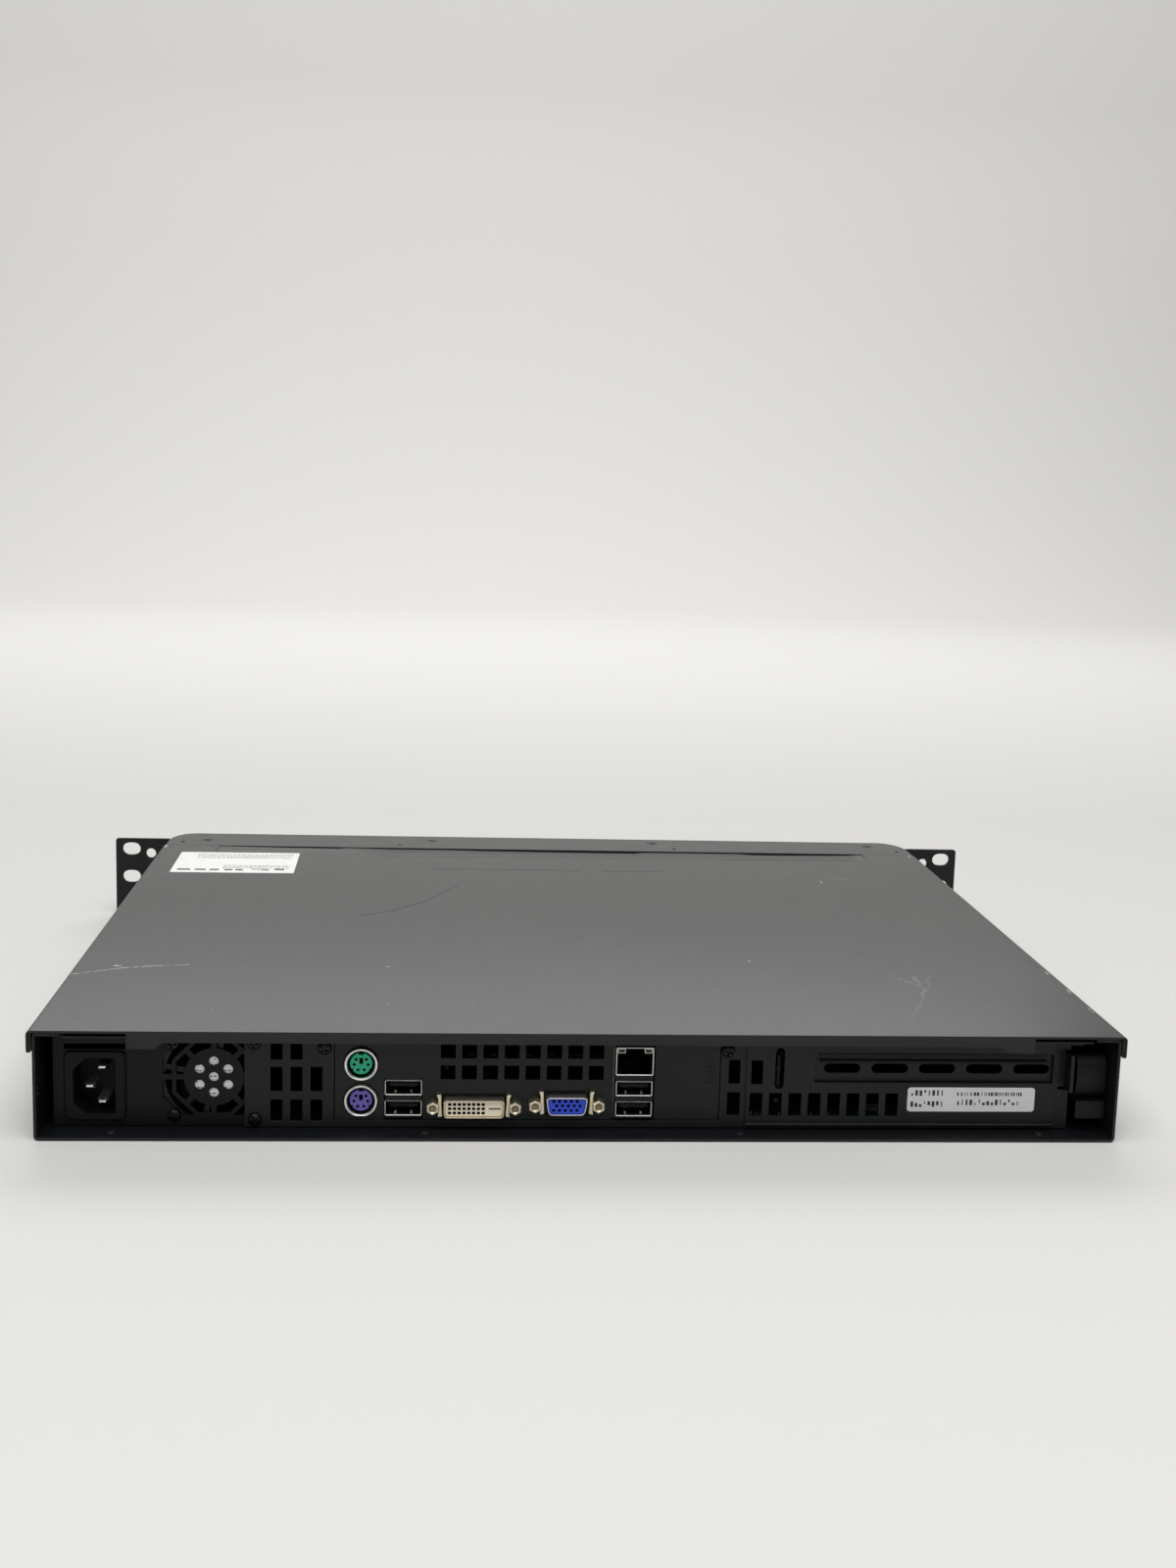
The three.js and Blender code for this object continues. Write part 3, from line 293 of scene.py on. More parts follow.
# Rubbed strokes on the lid: start, end, half width, strength (negative is dark) and waver.
LID_MARKS = [
    ((165, 95.9), (178, 97.6), 0.45, 0.7, 1),
    ((178, 97.6), (193.5, 102.6), 0.5, 0.9, 1),
    ((193.5, 102.6), (211, 112.5), 0.4, 0.75, 1),
    ((193.2, 98.1), (195.4, 98.3), 0.9, 1.0, 0),
    ((-147, 128), (-145, 137), 1.0, 0.1, 9),
    ((-150, 104), (-146, 118), 1.0, 0.09, 12),
    ((-142, 106), (-147, 128), 1.0, 0.1, 12),
    ((-156, 104), (-148, 124), 0.8, 0.07, 12),
    ((-155, 113), (-142, 111), 0.8, 0.08, 12),
    ((-140, 102), (-143, 116), 0.8, 0.07, 10),
    ((-145, 137), (-136, 158), 0.6, 0.07, 5),
    ((-136, 158), (-124, 188), 0.5, 0.04, 4),
    ((-143.8, -80), (-143.6, -86), 0.6, 0.6, 2),
    ((-150, -95), (-160, -88), 0.5, 0.3, 3),
    ((-210.2, 94), (-210.0, 99), 0.7, 0.45, 1),
    ((-210.3, 124), (-210.1, 130), 0.7, 0.4, 1),
    ((-210.3, 151), (-210.2, 158), 0.6, 0.35, 1),
    ((210.6, -151), (210.6, -156), 0.8, 0.9, 1),
    ((-208, -151), (-209, -155), 0.8, 0.8, 1),
    ((-79, 80.6), (-79.6, 81), 0.5, 1.0, 0),
    ((43.8, 152.5), (44.4, 152.8), 0.5, 1.0, 0),
    ((80, 96), (80.7, 96.2), 0.5, 0.9, 0),
    ((96.5, 4.2), (81.5, -6.5), 0.6, -0.8, 1),
    ((81.5, -6.5), (65.2, -28.1), 0.6, -0.8, 1),
    ((65.2, -28.1), (49, -64.2), 0.5, -0.5, 1),
    ((63.5, -103.7), (-16.4, -103.7), 0.6, -0.9, 0),
    ((-29.1, -102.5), (-61.1, -104.4), 0.6, -0.9, 0),
    ((95, -134.5), (-95.7, -137.3), 0.7, -0.6, 0),
    ((-95.7, -137.3), (-172, -139.2), 0.8, -0.95, 0),
]

paint = {
    "cover": powder_coat("cover_paint", "#202022", "#252526", 0.285, LID_MARKS, ior=1.32, dust=0.55),
    "black": powder_coat("black_paint", "#121316", "#16181b", 0.4, shine=0.3),
    "supply_black": powder_coat("supply_paint", "#0a0b0d", "#0f1013", 0.4, shine=0.22),
    "steel": spangled_steel("bare_steel"),
    "nickel": metal("nickel", "#d2cfc6", 0.24),
    "gold": metal("gold_plate", "#d9b25a", 0.3),
    "bright_nickel": metal("bright_nickel", "#efede8", 0.33, depth=0.002, tarnished=0.15),
    "warm_nickel": metal("warm_nickel", "#e9dfc8", 0.38, depth=0.004, tarnished=0.3),
    "dark_metal": metal("blackened_steel", "#2e2f32", 0.3),
    # Near-black, almost unshiny plastic: painted shade for the bottoms of pin holes and the insides of the
    # network jacks.
    "painted_shade": moulded("painted_recess_shade", "#040404", 0.7, shine=0.05),
    "plastic": moulded("black_plastic", "#0e0f10", shine=0.3),
    "dull_black": moulded("dull_black_plastic", "#090a0b", 0.5, shine=0.2),
    "cream": moulded("cream_plastic", "#eee4cb", 0.38),
    "blue": moulded("blue_plastic", "#2146d2", 0.36),
    "green": moulded("green_plastic", "#1fb488", 0.36),
    "purple": moulded("purple_plastic", "#695cb0", 0.36),
    "white": moulded("white_nylon", "#ddd8cb", 0.45),
    "red": moulded("red_plastic", "#a01c1c", 0.4),
    "board": circuit_board("circuit_board", "#0a2212", "#123b20"),
    "cast": metal("cast_aluminium", "#a9abad", 0.46, depth=0.03),
    "aluminium": metal("aluminium", "#c3c5c7", 0.34, (1, 0.05, 1)),
    "sleeve": braided("cable_sleeve", "#0c0c0d", "#2b2b2e"),
    "red_sleeve": moulded("red_jacket", "#8d1b1d", 0.45),
    "label": label_stock("white_label", "#fbfaf8"),
    # The rear label's stock: the white label's stock greyed down, painted shade for the label on the shaded
    # rear face.
    "rear_label_shaded": label_stock("rear_label_shaded", "#dadbdb"),
    "print": moulded("label_print", "#2a2a2c", 0.5, depth=0.002),
    "silver_label": label_stock("silver_label", "#f2f3f4", 0.3),
    "dark_lens": moulded("dark_lens", "#1a1a16", 0.2, depth=0.004),
    "lens": clear_plastic("clear_plastic", "#dfe9e4"),
}

# The record's slot of each look. Looks that aren't listed have none.
SLOTS = {
    "cover": "cover_paint",
    **dict.fromkeys(("black", "supply_black"), "black_paint"),
    **dict.fromkeys(("nickel", "bright_nickel", "warm_nickel", "gold"), "nickel"),
    **dict.fromkeys(("plastic", "dull_black", "painted_shade"), "black_plastic"),
    **dict.fromkeys(("cream", "white"), "cream_plastic"),
    **dict.fromkeys(("lens", "dark_lens"), "clear_plastic"),
    "steel": "bare_steel",
    "blue": "blue_plastic",
    "green": "green_plastic",
    "purple": "purple_plastic",
    "board": "circuit_board",
    "cast": "cast_aluminium",
    "aluminium": "aluminium",
    "sleeve": "cable_jacket",
    "red_sleeve": "red_jacket",
}

# ---------------------------------------------------------------- mesh kit


def circle(centre, radius, steps=32, start=0.0):
    """Points of a circle, from an angle in radians."""
    a, b = centre
    angles = [start + 2 * math.pi * i / steps for i in range(steps)]
    return [(a + radius * math.cos(t), b + radius * math.sin(t)) for t in angles]


def arc(centre, radii, first, last, steps):
    """Points of an elliptical arc between two angles in degrees."""
    turns = [math.radians(first + (last - first) * i / steps) for i in range(steps + 1)]
    return [(centre[0] + radii[0] * math.cos(t), centre[1] + radii[1] * math.sin(t)) for t in turns]


def panel(centre, width, height, radius=0.0, steps=4):
    """A rectangle with rounded corners."""
    a, b = centre
    if radius <= 0:
        return [
            (a - width / 2, b - height / 2),
            (a + width / 2, b - height / 2),
            (a + width / 2, b + height / 2),
            (a - width / 2, b + height / 2),
        ]
    outline = []
    for i, (sa, sb) in enumerate(((1, 1), (-1, 1), (-1, -1), (1, -1))):
        corner = (a + sa * (width / 2 - radius), b + sb * (height / 2 - radius))
        outline += arc(corner, (radius, radius), 90 * i, 90 * i + 90, steps)
    return outline


def dee(centre, width, height, slant, radius):
    """A D-shaped socket outline, narrower at the bottom, with rounded corners."""
    a, b = centre
    corners = [
        (a + width / 2, b + height / 2),
        (a - width / 2, b + height / 2),
        (a - width / 2 + slant, b - height / 2),
        (a + width / 2 - slant, b - height / 2),
    ]
    outline = []
    for i, corner in enumerate(corners):
        here = Vector(corner)
        before = (Vector(corners[i - 1]) - here).normalized() * radius
        after = (Vector(corners[(i + 1) % 4]) - here).normalized() * radius
        for share in (0, 0.25, 0.5, 0.75, 1):
            bend = here + before * (1 - share) ** 2 + after * share**2
            outline.append(tuple(bend))
    return outline


def mirrored(half):
    """The other half of an outline, across its first axis, in reverse order."""
    return [(-a, b) for a, b in reversed(half)]


def spread(count, middle, pitch):
    """Evenly spaced places about a middle."""
    return [middle + (i - (count - 1) / 2) * pitch for i in range(count)]


AXES = {
    "x": lambda a, b, c: (c, a, b),
    "y": lambda a, b, c: (a, c, b),
    "z": lambda a, b, c: (a, b, c),
}


class Shape:
    """Closed bodies gathered into one mesh."""

    def __init__(self, cad_node=None):
        self.bm = bmesh.new()
        if cad_node:
            self.bm.from_mesh(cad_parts[cad_node].data)
            bmesh.ops.remove_doubles(self.bm, verts=self.bm.verts, dist=0.002 * MM)
            self.flatten()

    def flatten(self):
        """Merges neighbouring faces that lie in one plane."""
        bmesh.ops.dissolve_limit(
            self.bm, angle_limit=math.radians(0.5), verts=self.bm.verts, edges=self.bm.edges
        )
        return self

    def skin(self, rings, ends=True, loop=False):
        """Faces between rings of points, each a list of (x, y, z)."""
        made = [[self.bm.verts.new(Vector(p) * MM) for p in ring] for ring in rings]
        pairs = list(zip(made, made[1:] + made[:1])) if loop else list(zip(made, made[1:]))
        for low, high in pairs:
            for i in range(len(low)):
                j = (i + 1) % len(low)
                self.bm.faces.new((low[i], low[j], high[j], high[i]))
        if ends and not loop:
            self.bm.faces.new(made[0][::-1])
            self.bm.faces.new(made[-1])
        return self

    def loft(self, axis, sections, **options):
        """A body through (outline, place along the axis) sections."""
        place = AXES[axis]
        return self.skin([[place(a, b, c) for a, b in outline] for outline, c in sections], **options)

    def prism(self, axis, outline, span):
        return self.loft(axis, [(outline, span[0]), (outline, span[1])])

    def box(self, x, y, z):
        outline = [(x[0], y[0]), (x[1], y[0]), (x[1], y[1]), (x[0], y[1])]
        return self.prism("z", outline, z)

    def turned(self, axis, centre, profile, steps=32, loop=False):
        """A turned body through (radius, place along the axis) points."""
        return self.loft(axis, [(circle(centre, r, steps), c) for r, c in profile], loop=loop)

    def rod(self, axis, centre, radius, span, steps=24):
        return self.prism(axis, circle(centre, radius, steps), span)

    def sweep(self, points, outline):
        """An outline carried along a path."""
        points = [Vector(p) for p in points]
        side = Vector((0, 0, 1))
        rings = []
        for i, point in enumerate(points):
            ahead = (points[min(i + 1, len(points) - 1)] - points[max(i - 1, 0)]).normalized()
            across = ahead.cross(side)
            across = across.normalized() if across.length > 0.2 else last_across
            last_across = across
            up = across.cross(ahead).normalized()
            rings.append([tuple(point + across * a + up * b) for a, b in outline])
        return self.skin(rings)

    def move(self, matrix):
        """matrix turns and shifts the whole shape; its shift is in millimetres."""
        metres = matrix.copy()
        metres.translation = metres.translation * MM
        self.bm.transform(metres)
        return self

    def round(self, radius, where, segments=3):
        """Rounds the edges whose middle, in millimetres, where() accepts."""
        edges = [e for e in self.bm.edges if where((e.verts[0].co + e.verts[1].co) / (2 * MM), e)]
        bmesh.ops.bevel(
            self.bm, geom=edges, offset=radius * MM, segments=segments, profile=0.5, affect="EDGES",
            clamp_overlap=True,
        )
        return self

    def data(self, name):
        mesh = bpy.data.meshes.new(name)
        bmesh.ops.recalc_face_normals(self.bm, faces=self.bm.faces)
        self.bm.to_mesh(mesh)
        return mesh

    def combine(self, other, operation):
        """A boolean with another shape, whose own bodies are apart from each other."""
        objects = [bpy.data.objects.new(n, s.data(n)) for n, s in (("one", self), ("two", other))]
        for o in objects:
            bpy.context.scene.collection.objects.link(o)
        step = objects[0].modifiers.new("boolean", "BOOLEAN")
        step.operation, step.object, step.solver = operation, objects[1], "EXACT"
        graph = bpy.context.evaluated_depsgraph_get()
        result = bpy.data.meshes.new_from_object(objects[0].evaluated_get(graph))
        self.bm.free()
        self.bm = bmesh.new()
        self.bm.from_mesh(result)
        bmesh.ops.remove_doubles(self.bm, verts=self.bm.verts, dist=0.0005 * MM)
        for o in objects:
            mesh = o.data
            bpy.data.objects.remove(o)
            bpy.data.meshes.remove(mesh)
        bpy.data.meshes.remove(result)
        return self.flatten()

    def add(self, other):
        """Takes in another shape's bodies as they are."""
        mesh = other.data("part")
        self.bm.from_mesh(mesh)
        bpy.data.meshes.remove(mesh)
        return self

    def cut(self, other):
        return self.combine(other, "DIFFERENCE")

    def join(self, other):
        return self.combine(other, "UNION")

    def piece(self, name, look, slot=None, body="chassis", bevel=0.0, segments=2, sharp=34, stands_for=()):
        """The finished object. Its slot is worked out from its look, unless one is given, and is then not
        used.
        """
        mesh = self.data(name)
        mesh.materials.append(paint[look])
        mesh.shade_smooth()
        mesh.set_sharp_from_angle(angle=math.radians(sharp))
        made = bpy.data.objects.new(name, mesh)
        bpy.context.scene.collection.objects.link(made)
        if bevel:
            soften(made, bevel, segments)
        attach(made, body)
        slot = slot or SLOTS.get(look)
        if stands_for:
            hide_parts(*stands_for)
        return made


def soften(made, width, segments=2):
    """Rounds an object's sharp edges."""
    step = made.modifiers.new("soft_edges", "BEVEL")
    step.width, step.segments = width * MM, segments
    step.limit_method, step.angle_limit = "ANGLE", math.radians(34)
    step.loop_slide = False
    step.harden_normals = True


def remake(node, look, bevel=0.2, extra=None, name=None, body="chassis", **options):
    """A CAD node's own shape again, cleaned and with soft edges. extra edits the shape first."""
    shape = Shape(node)
    if extra:
        shape = extra(shape)
    return shape.piece(name or node + "_part", look, None, body, bevel, stands_for=[node], **options)


class Room:
    """A CAD node's box in millimetres."""

    def __init__(self, node):
        low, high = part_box(node)
        self.low, self.high = low / MM, high / MM
        self.mid = (self.low + self.high) / 2
        self.size = self.high - self.low


# ---------------------------------------------------------------- fasteners


def screw_shape(radius, height, countersunk=False):
    """A cross-recess screw head about the local z axis, its foot or countersunk rim near z = 0."""
    if countersunk:
        profile = [(radius * 0.5, -1.2), (radius, -0.12), (radius, 0.0), (radius * 0.9, 0.03)]
    else:
        profile = [
            (radius * 0.94, 0.0),
            (radius, 0.12 * height),
            (radius * 0.98, 0.45 * height),
            (radius * 0.84, 0.8 * height),
            (radius * 0.5, 0.97 * height),
            (radius * 0.15, height),
        ]
    head = Shape().turned("z", (0, 0), profile, 28)
    top_level = profile[-1][1]
    arm, width = radius * 0.68, radius * 0.17
    for half in ((arm, width), (width, arm)):
        bottom = panel((0, 0), half[0] * 1.3, half[1] * 1.3)
        mouth = panel((0, 0), half[0] * 2, half[1] * 2)
        head.cut(Shape().loft("z", [(bottom, top_level - 1.2), (mouth, top_level + 0.2)]))
    return head


screw_meshes = {}


def screw(name, place, facing, radius=2.4, height=1.0, look="dark_metal", turn=0.0, countersunk=False):
    """A screw head at a point, facing +y or +z."""
    key = (radius, height, look, countersunk)
    if key not in screw_meshes:
        mesh = screw_shape(radius, height, countersunk).data("screw_head")
        mesh.materials.append(paint[look])
        mesh.shade_smooth()
        mesh.set_sharp_from_angle(angle=math.radians(40))
        screw_meshes[key] = mesh
    made = bpy.data.objects.new(name, screw_meshes[key])
    bpy.context.scene.collection.objects.link(made)
    way = {"+y": -90, "+z": 0}[facing]
    stand = Matrix.Rotation(math.radians(way), 4, "X") @ Matrix.Rotation(math.radians(turn), 4, "Z")
    made.matrix_world = Matrix.Translation(Vector(place) * MM) @ stand
    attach(made, "chassis")


def screws(prefix, places, facing, turn_step, **size):
    """Numbered screws, each turned a little further than the one before."""
    for i, place in enumerate(places):
        screw(f"{prefix}_{i + 1}", place, facing, turn=turn_step * i, **size)


# ---------------------------------------------------------------- enclosure

cover = Room("top_cover")
tray = Room("base_tray")
bezel = Room("front_bezel")
shield = Room("io_shield")
# The lid's rear edge and top face, and the rear panel's outer face.
rear_edge = cover.high.y
top = cover.high.z - 0.15
panel_face = shield.high.y + 0.2
# The main board's upper face, its sides and its posts.
BOARD_TOP = 5.0
BOARD_X, BOARD_Y = (-144, 100), (-53.5, 176.5)
BOARD_POSTS = [(x, y) for x in (-134, -30, 88) for y in (-41.5, 60, 162.5)]


# Gaps of the front seam: where each is shut, where it is widest, its depth and its curve's power.
SEAM_GAPS = [(181, 112, 0.5, 1.2), (57, -54, 0.58, 0.8), (-178, -113, 0.58, 1.1)]


def seam_sag(x):
    """How far the lid's front tongue bows down between the bezel screws, leaving a dark gap."""
    for shut, widest, depth, power in SEAM_GAPS:
        share = (x - shut) / (widest - shut)
        if 0 < share < 1:
            taper = min(1, abs(widest - x) / 3)
            return depth * math.sin(math.pi / 2 * share) ** power * taper
    return 0.0


def step_drop(x):
    """How far the lid steps down in front of its pressed line, which fades out towards +X."""
    left_fade, right_fade = min(1, max(0, (x + 181) / 8)), min(1, max(0, (118 - x) / 30))
    return 0.1 + 0.4 * right_fade * left_fade


def lid_section():
    """The lid's outline across the case: a flat top and doubled-over side flanges."""
    w, sheet, hem_bottom = cover.high.x, 1.0, cover.low.z
    outer, slit, inner = 0.8, 0.3, 0.7
    leg = outer + slit + inner
    half = [
        *arc((w - 0.5, hem_bottom + 0.5), (0.5, 0.5), 0, -90, 3),
        (w - leg + 0.3, hem_bottom),
        (w - leg, hem_bottom + 0.3),
        (w - leg, top - sheet - 0.3),
        (w - outer - slit, top - sheet - 0.3),
        (w - outer - slit, hem_bottom + outer),
        (w - outer, hem_bottom + outer),
        (w - outer, top - sheet),
    ]
    left_corner = arc((-w + 1.6, top - 1.6), (1.6, 1.6), 180, 90, 6)
    right_corner = arc((w - 1.6, top - 1.6), (1.6, 1.6), 90, 0, 6)
    return half + mirrored(half) + left_corner + right_corner


def lid_tongue(half_width, front, step):
    """The lid's front strip, which steps down and runs under the bezel with a sag."""
    profile = [(step + 0.6, 0.0), (step, 0.1), (step - 0.5, 0.6), (step - 1.1, 1.0), (front + 5, 1.0)]
    under_bezel, thickness, count = 1.3, 0.5, 150
    rings = []
    for i in range(count + 1):
        x = -half_width + 0.2 + (2 * half_width - 0.4) * i / count
        drop, sag = step_drop(x), seam_sag(x)
        above = [(x, y, top - 0.01 - drop * share) for y, share in profile]
        above.append((x, front + 1.1, top - 0.01 - drop - sag * 0.8))
        above += [(x, y, top - under_bezel - sag) for y in (front + 0.1, front - 1, cover.low.y)]
        rings.append(above + [(x, y, z - thickness) for x, y, z in reversed(above)])
    return Shape().skin(rings)


def top_cover():
    """The lid: hemmed sides, a lip at the rear and a tongue stepped down to run under the bezel."""
    front, step = cover.low.y + 9, cover.low.y + 25
    shape = Shape().prism("y", lid_section(), (front, rear_edge))
    tongue = 181.8
    shape.cut(Shape().box((-tongue, tongue), (front - 1, step), (top - 4, top + 1)))
    shape.join(lid_tongue(tongue, front, step))
    lip_low, tab_low = 39.1, 36.6
    lip = [(161.9, lip_low), (165, tab_low), (175.5, tab_low), (175.5, top - 0.5)]
    shape.join(Shape().prism("y", lip + mirrored(lip), (rear_edge - 1.0, rear_edge)))

    def at_rear_bend(middle, edge):
        level = abs(edge.verts[0].co.z - edge.verts[1].co.z) < 1e-5
        return level and middle.z > top - 0.05 and middle.y > rear_edge - 0.05 and abs(middle.x) < 210

    shape.round(0.8, at_rear_bend)
    shape.piece("lid", "cover", body="cover", bevel=0.12, stands_for=["top_cover"])


def slab(inset, back, span):
    """A slab of the bezel's plan, drawn in by an inset, from its face back to a place along Y."""
    round_x, round_y, steps = 13.7, 21, 20
    radius = (round_x - inset, round_y - inset)
    corner_x, corner_y = bezel.high.x - round_x, bezel.low.y + round_y
    w, behind = bezel.high.x - inset, -150
    outline = [
        (w, behind),
        (-w, behind),
        *arc((-corner_x, corner_y), radius, 180, 270, steps),
        *arc((corner_x, corner_y), radius, 270, 360, steps),
    ]
    rest = Shape().box((-250, 250), (back, behind + 50), (span[0] - 1, span[1] + 1))
    return Shape().prism("z", outline, span).cut(rest)


# The front's openings: their height and places, and the screws and dimples of the bezel's top.
FRONT_Z = 22
LIGHTS = [Room(f"light_pipe_{i}").mid.x for i in range(1, 6)]
POWER = Room("power_button")
RESET = Room("reset_button")
PORTS = [Room("front_lan_jack_1"), Room("front_lan_jack_2")]
BEZEL_SCREWS = [(190, -171.5), (63.5, -177.8), (-63.5, -179.8), (-190, -178.9)]
BEZEL_DIMPLES = [(202.9, -166.3), (81.8, -165.3), (-74.7, -165.2), (-204.4, -165.8)]


def front_bezel():
    """A shallow shell with rounded ends, cut for air, ports, lights and buttons."""
    face, wall, sheet = bezel.low.y, 1.6, 1
    sides_end, floor_end, top_end = -175.5, rear_edge - 365.3, bezel.high.y
    shape = slab(0, sides_end, (bezel.low.z, top))
    shape.cut(slab(wall, -150, (bezel.low.z + sheet, top - sheet)))
    shape.join(slab(0, top_end, (top - sheet, top)))
    shape.join(slab(0, floor_end, (bezel.low.z, bezel.low.z + sheet)))
    openings = Shape()
    through = (face - 1, face + 4)
    for first in (-186, -104, -22):
        for i in range(10):
            vent = panel((first + 7.4 * i, FRONT_Z), 3.2, 22, 1.58, 6)
            openings.prism("y", vent, through)
    for port in PORTS:
        openings.prism("y", panel((port.mid.x, FRONT_Z), 16.6, 14, 0.8), through)
    for x in LIGHTS:
        openings.rod("y", (x, FRONT_Z), 1.9, through)
    openings.prism("y", panel((POWER.mid.x, FRONT_Z), 8.6, 5.6, 1.2), through)
    openings.rod("y", (RESET.mid.x, FRONT_Z), 1.9, through)
    for x, y in BEZEL_SCREWS:
        openings.loft("z", [(circle((x, y), 2.5), top - 1.3), (circle((x, y), 3.5), top + 0.1)])
    for x, y in BEZEL_DIMPLES:
        openings.loft("z", [(circle((x, y), 0.8), top - 0.45), (circle((x, y), 1.5), top + 0.05)])
    shape.cut(openings)
    shape.piece("bezel", "cover", bevel=0.3, segments=3, stands_for=["front_bezel"])
    places = [(x, y, top - 0.12) for x, y in BEZEL_SCREWS]
    screws("bezel_screw", places, "+z", 20, radius=3.1, height=0.6, countersunk=True)


def base_tray():
    """The base: a floor and two sides with flanges turned in at the top, and posts for the board."""
    w, sheet, radius = tray.high.x, 1.2, 2.0
    wall_top, inner = tray.high.z, w - 10
    half = arc((w - radius, radius), (radius, radius), 270, 360, 6)
    half += arc((w - 1.5, wall_top - 1.5), (1.5, 1.5), 0, 90, 4)
    half += [(inner, wall_top), (inner, wall_top - sheet), (w - sheet, wall_top - sheet)]
    half += arc((w - radius, radius), (radius - sheet, radius - sheet), 360, 270, 6)
    shape = Shape().prism("y", half + mirrored(half), (tray.low.y, tray.high.y))
    vents, posts = Shape(), Shape()
    for i in range(8):
        vent = panel((-108 + 10 * i, 21), 4, 18, 1.95, 6)
        vents.prism("x", vent, (-w - 3, 4 - w))
        vents.prism("x", vent, (w - 4, w + 3))
    shape.cut(vents)
    for place in BOARD_POSTS:
        posts.turned("z", place, [(3.6, sheet - 0.4), (3.6, 2.0), (2.9, 2.3), (2.9, 3.1)], 20)
    shape.join(posts)
    shape.piece("tray", "black", bevel=0.2, stands_for=["base_tray"])


def rear_sheet_metal():
    """The rear panel, the plate round the ports and the blank slot cover."""
    remake("rear_panel", "black", 0.3)
    remake("io_shield", "black", 0.15)
    hem = [(179.2, 3.1), (181.5, 3.1), (181.9, 3.5), (181.7, 4.1), (181.2, 4.3), (179.2, 4.3)]
    Shape().prism("x", hem, (-188.4, -63.6)).piece("panel_ledge", "black", bevel=0.15)

    ticks = Shape()
    for i in range(8):
        z, length = 19.6 + 1.15 * i, 2.2 if i % 2 else 3.4
        ticks.box((-50.8, -50.8 + length), (shield.high.y - 0.1, shield.high.y + 0.2), (z, z + 0.5))
    ticks.piece("shield_ticks", "black", bevel=0.08)

    def with_beads(shape):
        back = Room("slot_cover").low.y + 0.5
        for low, high, reach in ((28.7, 29.7, 2.1), (31.2, 32.4, 1.4)):
            front = [(back + reach - 0.4, low), (back + reach, low + 0.4)]
            front += [(back + reach, high - 0.3), (back + reach - 0.3, high)]
            shape.join(Shape().prism("x", [(back, low), *front, (back, high)], (-185, -93)))
        return shape

    remake("slot_cover", "black", 0.15, with_beads)
    behind_slot = Shape()
    for low, high, radius in ((17.2, 20.6, 1.25), (20.6, 24.2, 1.0), (24.2, 27.2, 1.35), (27.2, 31.2, 1.1)):
        behind_slot.rod("z", (-76.8, 176.9), radius, (low, high), 16)
    behind_slot.piece("riser_bracket_edge", "plastic", bevel=0.3)


def slot_clip():
    """The spring clip that keeps the slot cover: a bowed leaf with a straight foot."""
    room = Room("slot_retainer")
    y, low, high, sheet = rear_edge - 13.4, 14.6, 33.6, 1.0
    foot_y, foot_z = 183.6, 7.2
    centre, bulge = (y, (low + high) / 2), (4.4, (high - low) / 2)
    outer = [(y - sheet, high), *arc(centre, bulge, 90, -90, 26), (foot_y, 14.4), (foot_y, foot_z)]
    inner = [
        (foot_y - sheet, foot_z),
        (foot_y - sheet, 13.4),
        (y - sheet, 13.6),
        (y - sheet, low + sheet),
        *arc(centre, (bulge[0] - sheet, bulge[1] - sheet), -90, 90, 26),
    ]
    clip = Shape().prism("x", outer + inner, (room.low.x + 0.6, room.high.x))
    clip.piece("slot_clip", "supply_black", bevel=0.2, stands_for=["slot_retainer"])


def rear_fasteners():
    """Screws of the supply and the panel, and rivets of the sides and the floor."""
    supply_face = Room("psu_case").high.y
    places = [(x, supply_face, z) for x, z in ((160.3, 34.5), (159.7, 5.7))]
    screws("supply_screw", places, "+y", 35, radius=2.6, height=1.3)
    places = [(x, panel_face, z) for x, z in ((128.9, 35.4), (128.6, 4.6), (101.9, 33.6), (-56.0, 33.3))]
    screws("panel_screw", places, "+y", 25, radius=2.75, height=1.7)
    for i, side in enumerate((-1, 1)):
        dots = Shape()
        for z in (17.2, 19.4):
            head = [(1.0, -0.3), (0.95, 0.25), (0.5, 0.5), (0.1, 0.55)]
            dots.turned("x", (187.0, z), [(r, side * (tray.high.x - 1.2 - out)) for r, out in head], 20)
        dots.piece(f"side_rivets_{i + 1}", "dark_metal", "black_paint")
    rivets = Shape()
    for x in (182.5, 62.6, -61.1, -181.5):
        rivets.turned("z", (x, 185), [(2.2, 1.1), (2.15, 1.5), (1.6, 2.0), (0.8, 2.2), (0.2, 2.25)], 28)
    rivets.piece("floor_rivets", "black")


def rack_ear(node):
    """A rack ear with rounded outer corners."""

    def corners(shape):
        outer = Room(node).high.x if "right" in node else Room(node).low.x

        def at_corner(middle, edge):
            along_y = abs(edge.verts[0].co.y - edge.verts[1].co.y) > 1 * MM
            return along_y and abs(middle.x - outer) < 0.1

        return shape.round(1.5, at_corner, 4)

    remake(node, "black", 0.25, corners)


# ---------------------------------------------------------------- rear connectors

USB_LEVELS = (9.9, 18.2)


